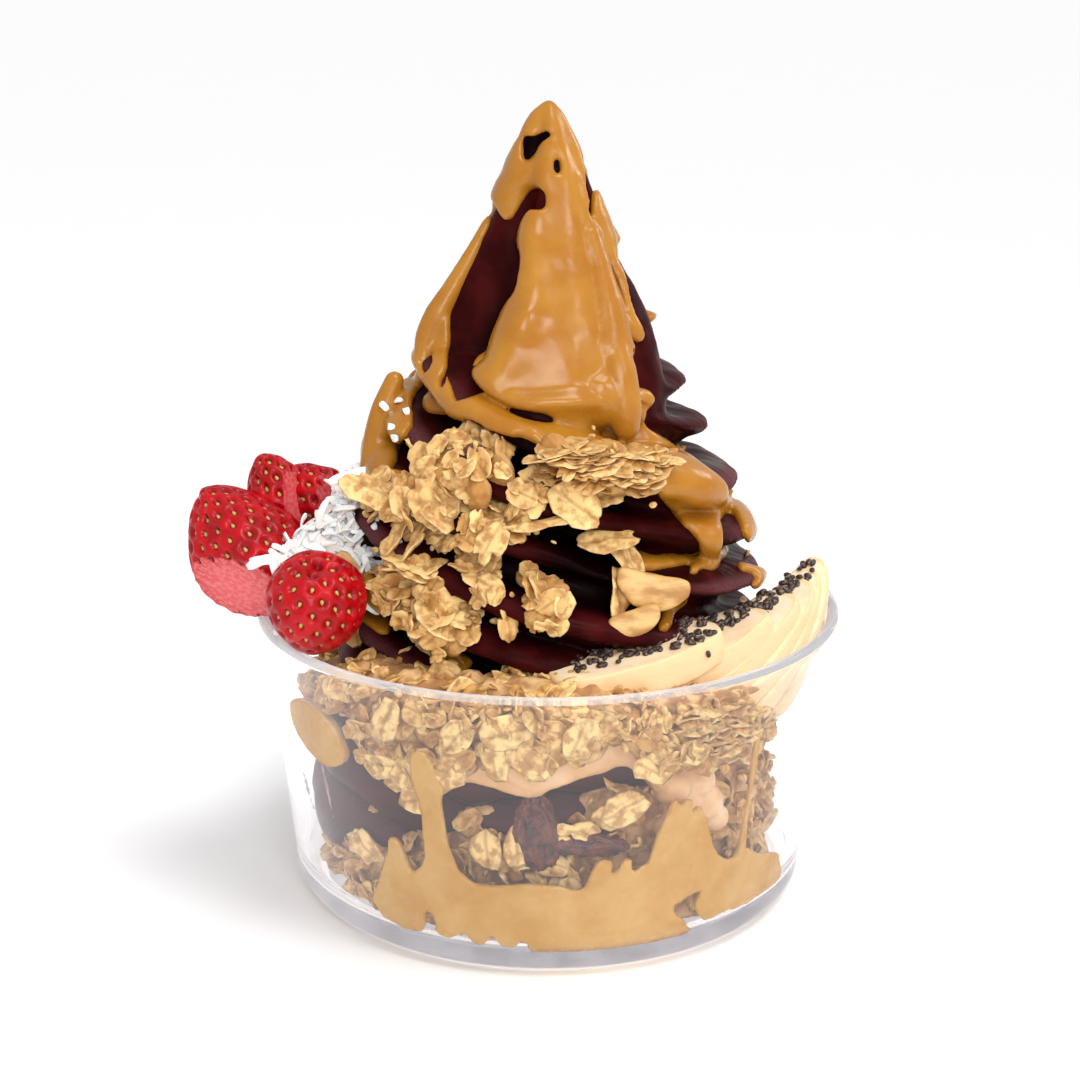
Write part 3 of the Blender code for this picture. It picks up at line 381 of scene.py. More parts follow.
def polar(radius, azimuth, z):
    """A point at a radius and an azimuth in radians."""
    return radius * math.cos(azimuth), radius * math.sin(azimuth), z


def along(keys, value):
    """Straight interpolation through (position, value) keys."""
    return np.interp(value, [k[0] for k in keys], [k[1] for k in keys])


def around(keys, azimuth):
    """The same round a full turn, with azimuth in radians."""
    degrees = (np.degrees(azimuth) + 180.0) % 360.0 - 180.0
    return np.interp(degrees, [k[0] for k in keys], [k[1] for k in keys], period=360)


def rounded(outline, rounds=2, closed=True):
    """Corner cutting: a smooth line through an outline of few points."""
    points = np.array(outline, float)
    for _ in range(rounds):
        after = np.roll(points, -1, axis=0) if closed else points[1:]
        before = points if closed else points[:-1]
        cut = np.stack([before * 0.75 + after * 0.25, before * 0.25 + after * 0.75], axis=1)
        cut = cut.reshape(-1, points.shape[1])
        points = cut if closed else np.concatenate([points[:1], cut, points[-1:]])
    return points


def inside_by(points, outline):
    """How far each 2D point lies inside (+) or outside (-) a closed outline."""
    a = np.asarray(outline, float)
    edge = np.roll(a, -1, axis=0) - a
    b = a + edge
    result = np.full(len(points), -6.0)
    close = ((points > a.min(0) - 6) & (points < a.max(0) + 6)).all(1).nonzero()[0]
    for chunk in np.array_split(close, max(1, len(close) // 20000)):
        part = points[chunk]
        rel = part[:, None, :] - a[None]
        t = np.clip((rel * edge).sum(-1) / np.maximum((edge ** 2).sum(-1), 1e-9), 0, 1)
        near = rel - t[..., None] * edge
        dist = np.sqrt((near ** 2).sum(-1)).min(1)
        level = part[:, 1:2]
        straddles = (a[:, 1] <= level) != (b[:, 1] <= level)
        slope = edge[:, 0] / np.where(edge[:, 1] == 0, 1e-9, edge[:, 1])
        crossing = a[:, 0] + (level - a[:, 1]) * slope
        odd = (straddles & (part[:, 0:1] < crossing)).sum(1) % 2 == 1
        result[chunk] = np.where(odd, dist, -np.minimum(dist, 6))
    return result


def elevation(points):
    """Where points show on the plane y = 0 when seen from the eye, as (x, z)."""
    t = -EYE[1] / (points[:, 1] - EYE[1])
    return EYE[[0, 2]] + (points[:, [0, 2]] - EYE[[0, 2]]) * t[:, None]


def step(low, high, values):
    """A soft step from 0 at low to 1 at high."""
    t = np.clip((values - low) / (high - low), 0, 1)      # high below low steps the other way
    return t * t * (3 - 2 * t)


def waves(points, size, seed):
    """A smooth wandering field between -1 and 1, with bumps of about this size."""
    rng = np.random.default_rng(seed)
    total = np.zeros(len(points))
    for _ in range(7):
        way = rng.normal(size=3)
        way *= TAU / size / np.linalg.norm(way) * rng.uniform(0.6, 1.3)
        total += np.sin(points @ way + rng.uniform(0, TAU))
    return total / 7 * 1.6


# ---- materials -----------------------------------------------------------------------------
class Finish:
    """Builds one node material around a Principled shader."""

    def __init__(self, name, **values):
        self.material = bpy.data.materials.new(name)
        self.material.use_nodes = True
        self.tree = self.material.node_tree
        self.shader = self.tree.nodes["Principled BSDF"]
        for key, value in values.items():
            self.shader.inputs[key.replace("_", " ").title().replace("Ior", "IOR")].default_value = value
        self.place = self.node("ShaderNodeTexCoord").outputs["Object"]

    def node(self, kind, **values):
        node = self.tree.nodes.new(kind)
        for key, value in values.items():
            setattr(node, key, value)
        return node

    def link(self, source, target):
        if isinstance(source, (int, float)):
            target.default_value = source
        elif isinstance(source, (tuple, list)):
            target.default_value = (*source, 1.0)[:len(target.default_value)]
        else:
            self.tree.links.new(source, target)

    def noise(self, size, detail=2.0, rough=0.5, distortion=0.0, stretch=None):
        """Noise with features of about this size in mm."""
        where = self.place
        if stretch:
            mapping = self.node("ShaderNodeMapping")
            mapping.inputs["Scale"].default_value = stretch
            self.link(where, mapping.inputs["Vector"])
            where = mapping.outputs["Vector"]
        noise = self.node("ShaderNodeTexNoise")
        for key, value in zip(("Vector", "Scale", "Detail", "Roughness", "Distortion"),
                              (where, 1.0 / (size * MM), detail, rough, distortion)):
            self.link(value, noise.inputs[key])
        return noise.outputs["Fac"]

    def cells(self, size):
        """Distance to the middle of Voronoi cells of about this size in mm."""
        cells = self.node("ShaderNodeTexVoronoi")
        self.link(self.place, cells.inputs["Vector"])
        self.link(1.0 / (size * MM), cells.inputs["Scale"])
        return cells.outputs["Distance"]

    def split(self, vector):
        parts = self.node("ShaderNodeSeparateXYZ")
        self.link(vector, parts.inputs[0])
        return parts.outputs

    def marked(self):
        """The three numbers that mark() stored on the mesh."""
        return self.split(self.node("ShaderNodeAttribute", attribute_name="local").outputs["Vector"])

    def math(self, operation, a, b=0.0):
        node = self.node("ShaderNodeMath", operation=operation)
        self.link(a, node.inputs[0])
        self.link(b, node.inputs[1])
        return node.outputs[0]

    def span(self, value, low, high, to_low=0.0, to_high=1.0):
        """Map a value from one range to another, clamped and eased."""
        node = self.node("ShaderNodeMapRange", interpolation_type="SMOOTHSTEP")
        for key, number in zip(("Value", "From Min", "From Max", "To Min", "To Max"),
                               (value, low, high, to_low, to_high)):
            self.link(number, node.inputs[key])
        return node.outputs[0]

    def blend(self, amount, a, b):
        """A colour between two, by an amount from 0 to 1."""
        node = self.node("ShaderNodeMix", data_type="RGBA")
        self.link(amount, node.inputs["Factor"])
        self.link(a, node.inputs["A"])
        self.link(b, node.inputs["B"])
        return node.outputs["Result"]

    def mottled(self, noise, low, high, first, second):
        """One colour with patches of another where a noise goes from low to high."""
        return self.blend(self.span(noise, low, high), first, second)

    def colour(self, source):
        self.link(source, self.shader.inputs["Base Color"])

    def rough(self, source):
        self.link(source, self.shader.inputs["Roughness"])

    def bump(self, height, distance, strength=1.0):
        """Relief of this height in mm; calls stack."""
        node = self.node("ShaderNodeBump")
        for key, value in zip(("Distance", "Strength", "Height"), (distance * MM, strength, height)):
            self.link(value, node.inputs[key])
        before = self.shader.inputs["Normal"].links
        if before:
            self.link(before[0].from_socket, node.inputs["Normal"])
        self.link(node.outputs["Normal"], self.shader.inputs["Normal"])


def glass_finish(name, tint, clear, body=1.0, painted_glow=0.0, cloud=0.0, lean=1.0):
    """Glass: how clear and how solid it is, its painted glow (an emission standing in for light the glass
    carries and reflects), its clouds, and the painted glow's gain at the left.
    """
    finish = Finish(name, base_color=(*tint, 1.0), roughness=0.0, transmission_weight=clear, ior=1.2,
                    alpha=body)
    if cloud:
        finish.colour(finish.mottled(finish.noise(11, detail=3.0, stretch=(1, 1, 3)), 0.36, 0.62,
                                     tuple(c * (1 - cloud) for c in tint), tuple(tint)))
    # Painted glow: a pale emission in place of light that the glass carries and reflects.
    finish.link((0.93, 0.87, 0.90), finish.shader.inputs["Emission Color"])
    # The painted glow is stronger towards the left, where the wall's veil of reflected light lies.
    if lean > 1.0:
        painted_glow = finish.span(finish.split(finish.place)[0], -66 * MM, -30 * MM, painted_glow * lean, painted_glow)
    finish.link(painted_glow, finish.shader.inputs["Emission Strength"])
    return finish.material


def soft_serve_finish(name, base):
    """Dark frozen cream: painted shade turns it near black in its hollows, and its outer lips are finely
    frosted with a painted sheen.
    """
    finish = Finish(name, roughness=0.46, ior=1.2, specular_ior_level=0.13)
    look = finish.marked()
    body = finish.mottled(finish.noise(9, detail=3.0), 0.35, 0.68, tuple(c * 0.75 for c in base),
                          tuple(c * 1.5 for c in base))
    # Painted shade: where the mesh marks a hollow, the colour falls to a tenth.
    body = finish.blend(look[0], body, tuple(c * 0.1 for c in base))
    frost_and_painted_sheen = finish.noise(0.5, detail=4.0, rough=0.7)
    # Frost and painted sheen: the marked outer lips turn pale mauve, which stands partly for light falling
    # on them.
    veil = finish.math("MULTIPLY", look[1], finish.span(frost_and_painted_sheen, 0.36, 0.62, 0.35, 1.0))
    finish.colour(finish.blend(veil, body, (0.17, 0.06, 0.07)))
    patch = finish.span(finish.noise(14), 0.38, 0.66, 0.27, 0.42)
    finish.rough(finish.math("ADD", patch, finish.math("MULTIPLY", look[1], 0.25)))
    finish.bump(frost_and_painted_sheen, 0.07, 0.45)
    finish.bump(finish.noise(3.2, detail=2.0), 0.28, 0.3)
    return finish.material


def sauce_finish(name, base):
    """Thick nut butter: opaque, glossy and soft in the light, with fine specks of nut skin."""
    finish = Finish(name, roughness=0.28, specular_ior_level=0.36, subsurface_weight=0.15,
                    subsurface_scale=0.003, subsurface_radius=(1.0, 0.55, 0.22),
                    coat_weight=0.06, coat_roughness=0.2)
    warm = tuple(c * k for c, k in zip(base, (0.93, 0.86, 0.72)))
    pale = tuple(min(1.0, c * k) for c, k in zip(base, (1.06, 1.12, 1.3)))
    body = finish.mottled(finish.noise(11), 0.32, 0.7, warm, pale)
    specks = finish.span(finish.cells(1.5), 0.06, 0.13, 0.55, 0.0)
    some = finish.span(finish.noise(3.0), 0.5, 0.62)
    finish.colour(finish.blend(finish.math("MULTIPLY", specks, some), body, (0.3, 0.12, 0.03)))
    finish.rough(finish.span(finish.noise(5), 0.3, 0.7, 0.2, 0.34))
    finish.bump(finish.noise(1.4, detail=3.0), 0.08, 0.35)
    return finish.material


def shared(name, maker, *values):
    """A material that several pieces use, made once."""
    return bpy.data.materials.get(name) or maker(name, *values)


def paler(base, share):
    """A colour drawn towards pale caramel: painted light for sauce seen behind the glass."""
    return tuple(c + (pale - c) * share for c, pale in zip(base, (0.98, 0.66, 0.25)))


# ---- the glass bowl ------------------------------------------------------------------------
BASE_RADIUS = 66.1
OUTER_CORNER = 7.0
INNER_CORNER = 10.0
RIM_FLARE = 1.0
FLARE_HEIGHT = 6.0


class Bowl:
    """The bowl's walls, as radii at a height."""

    def __init__(self, settings):
        self.rim = settings.rim_radius / MM
        self.height = settings.height / MM
        self.wall = settings.wall / MM
        self.floor = settings.floor / MM

    def outer(self, z):
        lean = (self.rim - RIM_FLARE - BASE_RADIUS) / self.height
        flare = np.maximum(0.0, (z - self.height + FLARE_HEIGHT) / FLARE_HEIGHT)
        return BASE_RADIUS + lean * z + RIM_FLARE * flare ** 2

    def inner(self, z):
        top = self.floor + INNER_CORNER
        centre = self.outer(top) - self.wall - INNER_CORNER
        drop = np.clip(top - z, 0, INNER_CORNER)
        corner = centre + np.sqrt(INNER_CORNER ** 2 - drop ** 2)
        return np.where(np.asarray(z) >= top, self.outer(z) - self.wall, corner)


def arc(centre, radius, start, end, steps):
    """Points on an arc in the (r, z) plane, angles in degrees from +r."""
    angles = np.radians(np.linspace(start, end, steps + 1))
    return [(centre[0] + radius * math.cos(a), centre[1] + radius * math.sin(a)) for a in angles]


def spun(name, profile, turns=192):
    """A profile of (r, z) points from axis to axis, laid on a circle's vertices and spun."""
    bpy.ops.mesh.primitive_circle_add(vertices=len(profile), radius=1.0)
    obj = made(name)
    last = len(profile) - 1
    shape(obj, "EDGE", lambda e: set(e.vertices) == {0, last}, lambda: bpy.ops.mesh.delete(type="EDGE"))
    write(obj, np.array([(r, 0.0, z) for r, z in profile]))
    shape(obj, "VERT", everything,
          lambda: bpy.ops.mesh.spin(steps=turns, angle=TAU, center=(0, 0, 0), axis=(0, 0, 1)),
          lambda: bpy.ops.mesh.select_all(action="SELECT"),
          lambda: bpy.ops.mesh.remove_doubles(threshold=0.01 * MM), outward)
    pick(obj)
    bpy.ops.object.shade_smooth_by_angle(angle=math.radians(40))
    return obj


def glass_bowl(settings):
    """Thick clear glass with a rolled rim and a heavy floor."""
    bowl = Bowl(settings)
    top = bowl.floor + INNER_CORNER
    inside = [(0, bowl.floor), (20, bowl.floor), (40, bowl.floor)]
    inside += arc((float(bowl.inner(top)) - INNER_CORNER, top), INNER_CORNER, -90, 0, 14)
    levels = [24, 32, 40, 48, 56, 64, 69, 70.5, 72]
    inside += [(float(bowl.inner(z)), z) for z in levels]
    rim = arc((bowl.rim - bowl.wall / 2, bowl.height - bowl.wall / 2), bowl.wall / 2, 180, 0, 12)
    outside = [(float(bowl.outer(z)), z) for z in reversed(levels)]
    foot = (float(bowl.outer(OUTER_CORNER)) - OUTER_CORNER, OUTER_CORNER)
    outside += arc(foot, OUTER_CORNER, 0, -90, 12)
    outside += [(40, 0), (20, 0), (0, 0)]
    obj = spun("clear_bowl", inside + rim + outside)
    # Painted light in the glows: a faint veil on the wall, stronger at the left, a bright painted line on
    # the rim and a painted lit look on the foot.
    looks = [glass_finish("wall_glass", settings.tint, 1.0, 1.0, 0.045, lean=2.2),
             glass_finish("edge_glass", settings.tint, 0.6, 0.6, 0.12),
             glass_finish("foot_glass", settings.tint, 0.45, 1.0, 0.17, 0.3),
             glass_finish("foot_edge_glass", settings.tint, 0.4, 1.0, 0.3)]
    settled(obj, looks, "clear_glass", "glass_bowl", smooth=False)
    for face in obj.data.polygons:
        z, radius = face.center.z / MM, face.center.xy.length / MM
        foot = 3 if radius > BASE_RADIUS - OUTER_CORNER else 2
        face.material_index = 1 if z > bowl.height - 1.5 else foot if z < 0.6 else 0


# ---- the swirl -----------------------------------------------------------------------------
def rope():
    """The piped rope: its section carried round the axis and down, open ends closed."""
    section = rounded(ROPE_SECTION, 2)
    rounds, steps = len(section), COIL_TURNS * 110
    bpy.ops.mesh.primitive_grid_add(x_subdivisions=steps, y_subdivisions=rounds, size=1.0)
    obj = made("rope")
    grid = read(obj) * MM
    turn = (grid[:, 0] + 0.5) * COIL_TURNS
    corner = np.rint((grid[:, 1] + 0.5) * rounds).astype(int) % rounds
    start = math.radians(COIL_START)
    azimuth = turn * TAU + start
    first = 143.0 + COIL_TILT * math.cos(start) - COIL_PITCH / 3.0
    grow = step(0.0, 0.25, turn)                  # the rope's start rises out of the spire
    z = section[corner, 1] * (0.4 + 0.6 * grow) + first - COIL_PITCH * turn
    z -= COIL_TILT * np.cos(azimuth) * np.clip((z - 40.0) / 20.0, 0, 1)
    wave = 1.0 + 0.25 * np.sin(3 * azimuth + z * 0.11)
    spread = (azimuth - math.radians(HOLLOW[0]) + math.pi) % TAU - math.pi
    hollow = np.exp(-(spread / math.radians(HOLLOW[1])) ** 2 - ((z - HOLLOW[2]) / HOLLOW[3]) ** 2)
    radius = along(COIL_ENVELOPE, z) + section[corner, 0] * wave - HOLLOW[4] * hollow - 9.0 * (1 - grow)
    radius = np.maximum(0.5, radius)
    write(obj, columns(radius * np.cos(azimuth), radius * np.sin(azimuth), z))
    return shape(obj, "VERT", everything, lambda: bpy.ops.mesh.remove_doubles(threshold=0.01 * MM),
                 lambda: bpy.ops.mesh.select_all(action="DESELECT"),
                 lambda: bpy.ops.mesh.select_non_manifold(),
                 lambda: bpy.ops.mesh.edge_face_add(), outward)


def spire():
    """The drawn-up peak: a cone with deep upright folds, on a plain core."""
    obj, ball = sphere("spire", 180, 150)
    t = np.arccos(np.clip(ball[:, 2], -1, 1)) / math.pi
    azimuth = azimuth_of(ball)
    z = SWIRL_TOP - (SWIRL_TOP - 46.0) * t
    size = np.where(t > 0.999, 0.0, along(SPIRE_ENVELOPE, z))
    degrees = np.degrees(azimuth)
    fold = np.zeros(len(z))
    for middle in SPIRE_FOLDS:
        aside = (degrees - middle - (z - 150.0) * 0.23 + 180) % 360 - 180
        fold += 0.34 * np.cos(np.clip(aside / 30, -1, 1) * math.pi / 2) ** 4
    aside = (degrees - along(VALLEY_LINE, z) + 180) % 360 - 180
    aside = np.where(aside < 0, aside / 44, aside / 24)
    fold += 0.44 * np.cos(np.clip(aside, -1, 1) * math.pi / 2) ** 2
    r = size * (1 - fold * np.clip((z - 112.0) / 14.0, 0, 1))
    return write(obj, columns(r * np.cos(azimuth) - 1.5 * t, r * np.sin(azimuth), z))


def swirl_form(grain):
    """The whole swirl melted into one skin of cells of this size in mm."""
    obj = melted(joined([rope(), spire()], "swirl"), grain, 7)
    points = read(obj)
    lips = waves(points, 13, 5) * 0.35 + waves(points, 5, 6) * 0.12
    return write(obj, points + facing(obj) * lips[:, None])


def swirl(settings):
    """The swirl of dark soft serve, cut flat where it stands in the granola."""
    obj = swirl_form(settings.grain / MM)
    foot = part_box("soft_serve")[0].z
    shape(obj, "FACE", everything,
          lambda: bpy.ops.mesh.bisect(plane_co=(0, 0, foot), plane_no=(0, 0, 1), clear_inner=True,
                                      use_fill=True, threshold=0.01 * MM))
    points, out = read(obj), facing(obj)
    radius, azimuth = radius_of(points), azimuth_of(points)
    sunk = along(COIL_ENVELOPE, points[:, 2]) - radius
    low = step(150, 128, points[:, 2])
    right = step(0.35, 0.75, np.cos(azimuth))
    # Painted shade: the hollow mark darkens the sunk parts under the coils, less on the lit right.
    hollow = step(2.0, 8.5, sunk) * low * (1 - 0.7 * right)
    flank = step(0.35, 0.9, np.abs(np.cos(azimuth)))
    # Frost and painted sheen: the mark lightens the upward outer lips of the flanks.
    frost_and_painted_sheen = step(4.0, 0.5, sunk) * low * flank * step(-0.5, 0.5, out[:, 2] + 0.6)
    # Painted shade also in the deep folds of the spire.
    folded = along(SPIRE_ENVELOPE, points[:, 2]) - radius
    hollow = np.maximum(hollow, 0.8 * step(4.5, 11.0, folded) * step(122, 130, points[:, 2]))
    seen = elevation(points)
    # Painted shade in the tip hole, the slit and the window where the sauce parts.
    for outline in (TIP_HOLE, SLIT, WINDOW):
        hollow = np.maximum(hollow, (inside_by(seen, np.array(outline, float)) > -1.5) * (points[:, 1] < 0))
    mark(obj, columns(hollow, np.clip(frost_and_painted_sheen, 0, 1) * 0.8, hollow * 0))
    settled(obj, shared("frozen_cream", soft_serve_finish, settings.colour), "soft_serve", "soft_serve")


# ---- the sauce on the swirl ----------------------------------------------------------------
RIBS = [  # thick runs in the sauce: line on the front, half width, height
    ([(-3.2, 175), (-4.2, 168), (-3.5, 160), (-4, 152), (-6, 145)], 3.0, 1.4),
    ([(-14, 134), (-11.5, 128.5), (-4, 126.8), (8, 127.5), (20, 128.5)], 2.4, 2.4),
    ([(-5, 148), (-9, 141), (-11.5, 134)], 4.5, 2.0),
    ([(14, 142), (18, 136), (20, 131)], 3.0, 1.2),
    ([(22, 129.5), (25, 127.5)], 2.4, 1.2),
    ([(27, 114), (36, 107), (45, 99.5)], 4.5, 1.6),
    ([(42, 92), (42.5, 85)], 2.2, 1.4),
    ([(-29, 126), (-20, 125.5), (-12, 121), (-4, 118)], 1.8, 0.9),
    ([(-42, 120), (-42, 113)], 4.0, 1.2),
    ([(-5, 190), (-7, 183)], 2.6, 0.8),
    ([(-12, 182), (-13, 178)], 2.0, 0.8)]


def distance_to(points, line):
    """Distance of 2D points to an open line."""
    best = np.full(len(points), 1e9)
    for a, b in zip(line[:-1], line[1:]):
        a, edge = np.array(a, float), np.subtract(b, a).astype(float)
        t = np.clip(((points - a) @ edge) / (edge @ edge), 0, 1)
        best = np.minimum(best, np.linalg.norm(points - a - t[:, None] * edge, axis=1))
    return best


def sauce_cover(points):
    """How far inside the sauce's outlines each point of the swirl lies, in mm."""
    seen = elevation(points)
    front = np.full(len(points), -50.0)
    near = points[:, 1] < 16.0
    part = seen[near]
    cover = np.full(len(part), -50.0)
    for outline in SAUCE_SHAPES:
        cover = np.maximum(cover, inside_by(part, rounded(outline, 1)))
    for outline in SAUCE_HOLES:
        cover = np.minimum(cover, -inside_by(part, rounded(outline, 1)))
    front[near] = cover
    azimuth = azimuth_of(points)
    drips = 132.0 - 16.0 * np.cos(5 * azimuth + 0.6) - 9.0 * np.cos(9 * azimuth + 2.0)
    back = np.clip(points[:, 2] - drips, -20, 20) * 0.6
    share = step(2.0, 14.0, points[:, 1])
    return np.where(near, front * (1 - share) + back * share, back)


def beads(line, radii, step_size):
    """Small balls strung along a line in space, to be melted into one strand."""
    points = rounded(line, 2, closed=False)
    lengths = np.concatenate([[0], np.cumsum(np.linalg.norm(np.diff(points, axis=0), axis=1))])
    count = max(2, int(lengths[-1] / step_size))
    at = np.linspace(0, lengths[-1], count)
    spots = columns(*(np.interp(at, lengths, points[:, k]) for k in range(3)))
    sizes = np.interp(at / lengths[-1], np.linspace(0, 1, len(radii)), radii)
    return spots, sizes


def strung(lines, step_size=0.7):
    """The beads along several lines of (points, radii): their spots and their sizes."""
    parts = [beads(line, radii, step_size) for line, radii in lines]
    return [np.concatenate([part[k] for part in parts]) for k in range(2)]


def balls(name, spots, sizes):
    """Round beads at spots, in one mesh."""
    bead, unit = sphere("bead", 2)
    corners, counts = faces_of(bead)
    bpy.data.objects.remove(bead)
    points = np.concatenate([unit * size + spot for spot, size in zip(spots, sizes)])
    many = np.concatenate([corners + i * len(unit) for i in range(len(spots))])
    return mesh_piece(name, points, many, np.tile(counts, len(spots)))


class Skin:
    """The surfaces of some objects, to be hit by rays and asked for near points in mm."""

    def __init__(self, *names):
        graph = bpy.context.evaluated_depsgraph_get()
        self.trees = [BVHTree.FromObject(bpy.data.objects[name], graph) for name in names]

    def ray(self, start, way):
        hits = [tree.ray_cast(Vector(start) * MM, Vector(way)) for tree in self.trees]
        hits = [hit for hit in hits if hit[0] is not None]
        if not hits:
            return None, None
        hit = min(hits, key=lambda h: h[3])
        return np.array(hit[0] / MM), np.array(hit[1])

    def front(self, spot):
        """The surface point and normal that show at a spot (x, z) of the front."""
        hit, normal = self.ray(EYE, (Vector((spot[0], 0, spot[1])) - Vector(EYE)).normalized())
        if hit is None:
            near = [tree.find_nearest(Vector((spot[0], 0, spot[1])) * MM) for tree in self.trees]
            near = min(near, key=lambda h: h[3])
            hit, normal = np.array(near[0] / MM), np.array(near[1])
        return hit, normal


STRANDS = [  # thin strings of sauce on the swirl's right side: points (x, z), radii
    ([(-6.3, 109.5), (-6.6, 107.5), (-6.6, 105.8)], [3.2, 3.9, 3.4]),
    ([(43, 119.2), (42, 121), (40.5, 122)], [0.7, 1.0, 0.8]),
    ([(47.6, 104.3), (48.4, 107), (47.2, 110.2), (45.8, 109.4)], [1.1, 1.0, 0.9, 0.8]),
    ([(31.8, 130), (31.5, 133), (29.3, 135)], [0.8, 0.9, 0.8])]
RUNS = [  # thick runs of sauce that hang clear of the swirl: points (x, y, z), radii
    ([(-15.2, -1, 172.5), (-18.8, -2, 165.5), (-23, -3, 158), (-27.3, -4, 151), (-30.4, -5, 145.5),
      (-31.2, -6, 141.5), (-31, -7, 139)], [1.5, 1.9, 2.4, 2.8, 3.4, 3.0, 2.2]),
    ([(-38.5, -6, 134), (-41.5, -9, 126.5), (-43, -10, 119), (-43.8, -12, 112.5), (-43, -16, 106)],
     [2.6, 3.4, 3.8, 3.8, 3.0]),
    ([(15.5, -21.5, 148), (16.5, -23.5, 143), (17, -24.6, 139), (17.5, -25.3, 135), (18.2, -26.3, 131),
      (18.8, -26.6, 127.5)], [2.6, 3.8, 4.7, 4.9, 4.8, 3.6])]


def sauce_on_swirl(settings):
    """Thick sauce that runs down the swirl, bridges its folds and ends in rounded drips."""
    grain = settings.grain / MM
    obj = swirl_form(grain)
    points = read(obj)
    out = relaxed(facing(obj), pairs(obj), 16)
    out /= np.linalg.norm(out, axis=1).clip(0.2)[:, None]
    cover = sauce_cover(points)
    softened = relaxed(points, pairs(obj), 60)
    seen = elevation(points)
    most = 3.5 - 3.0 * step(-13, -17, seen[:, 0]) * step(134, 140, seen[:, 1])
    fill = np.clip(((softened - points) * out).sum(1), 0, most)
    lift = np.full(len(points), settings.thickness / MM)
    for line, width, height in RIBS:
        lift += height * np.exp(-(distance_to(seen, line) / width) ** 2) * (points[:, 1] < 6)
    edge = np.clip(cover / 1.6, 0, 1)
    lift = (lift + fill) * (0.45 + 0.55 * np.sqrt(1 - (1 - edge) ** 2))
    shift = -1.5 * (SWIRL_TOP - points[:, 2]) / (SWIRL_TOP - 46)
    radius = np.hypot(points[:, 0] - shift, points[:, 1])
    azimuth = np.degrees(azimuth_of(points))
    fold = np.clip(along(SPIRE_ENVELOPE, points[:, 2]) * 0.99 - radius, 0, 10)
    bridged = step(-84, -70, azimuth) * step(40, 10, azimuth) * step(126, 134, points[:, 2])
    bridged = np.maximum(bridged, 0.8 * step(174, 183, points[:, 2]))
    lift += fold * bridged * step(0, 5, cover) * step(203, 196, points[:, 2])
    lift *= 1 - 0.55 * step(182, 200, points[:, 2])
    quads = faces_of(obj)[0].reshape(-1, 4)
    quads = quads[(cover[quads] > 0.0).all(1)]
    bpy.data.objects.remove(obj)
    top = points + out * lift[:, None]
    sheet = closed_sheet("sauce_sheet", top, points - out * 1.0, quads)
    bpy.context.view_layer.update()
    skin = Skin("sauce_sheet")
    strands = [([tuple(hit + normal * 0.6) for hit, normal in map(skin.front, line)], widths)
               for line, widths in STRANDS]
    strands = balls("strands", *strung(strands + RUNS))
    obj = melted(joined([sheet, strands], "sauce_on_swirl"), grain, 6, faces=95000)
    settled(obj, shared("nut_butter", sauce_finish, settings.colour), "peanut_butter")


# ---- small things in numbers ---------------------------------------------------------------
class Kind:
    """A template for small pieces: its points in mm, its faces and its own coordinates."""

    def __init__(self, obj, points):
        self.points = points
        self.corners, self.sizes = faces_of(obj)
        span = np.abs(self.points).max(0)
        self.local = self.points / np.maximum(span, 1e-6)
        bpy.data.objects.remove(obj)


def spread(name, kinds, places):
    """One mesh of many copies: places are (kind number, 3x3 turn and size, spot in mm, tint)."""
    points, local, corners, sizes, base = [], [], [], [], 0
    for number, turn, spot, tint in places:
        kind = kinds[number % len(kinds)]
        points.append(kind.points @ np.asarray(turn, float).T + np.asarray(spot, float))
        own = kind.local.copy()
        own[:, 2] = tint
        local.append(own)
        corners.append(kind.corners + base)
        sizes.append(kind.sizes)
        base += len(kind.points)
    obj = mesh_piece(name, np.concatenate(points), np.concatenate(corners), np.concatenate(sizes))
    mark(obj, np.concatenate(local))
    return obj


def basis(normal, spin=0.0):
    """A 3x3 turn whose third column is the normal, spun about it."""
    turn = Vector(normal).normalized().to_track_quat("Z", "X").to_matrix()
    return np.array(turn @ Matrix.Rotation(spin, 3, "Z"))


OATS, CRUMBS = 9, 3                           # how many kinds of flake and of crumb
OAT_LONG, OAT_WIDE = 4.7, 3.7                 # half a flake's length and width, in mm


def oat_kinds(segments, rings, seed):
    """Rolled oat flakes: ragged, creased, warped ovals about 9 mm long."""
    rng = np.random.default_rng(seed)
    kinds = []
    for number in range(OATS):
        obj, unit = sphere("oat", segments, rings)
        angle = azimuth_of(unit)
        reach = radius_of(unit) ** 0.8
        ragged = 1 + sum(rng.uniform(0.04, 0.14) / k ** 0.6 * np.sin(k * angle + rng.uniform(0, TAU))
                         for k in (1, 2, 3, 5, 7, 10))
        for _ in range(rng.integers(1, 4)):
            nick = (angle - rng.uniform(-3, 3) + math.pi) % TAU - math.pi
            ragged -= rng.uniform(0.15, 0.4) * np.exp(-(nick / 0.16) ** 2)
        x = OAT_LONG * reach * ragged * np.cos(angle)
        y = OAT_WIDE * reach * ragged * np.sin(angle)
        z = 0.5 * unit[:, 2] * (1 + 0.4 * np.sin(3 * angle + number))
        z -= 0.45 * np.exp(-(y / 0.5) ** 2) * (reach < 0.9)
        z += 0.22 * waves(columns(x, y, z * 0), 2.6, int(rng.integers(999)))
        z += rng.uniform(-0.05, 0.05) * x ** 2 + rng.uniform(-0.07, 0.07) * y ** 2
        z += rng.uniform(-0.06, 0.06) * x * y + 0.25 * np.sin(1.1 * x + 0.9 * y + number)
        kinds.append(Kind(obj, columns(x, y, z)))
    return kinds


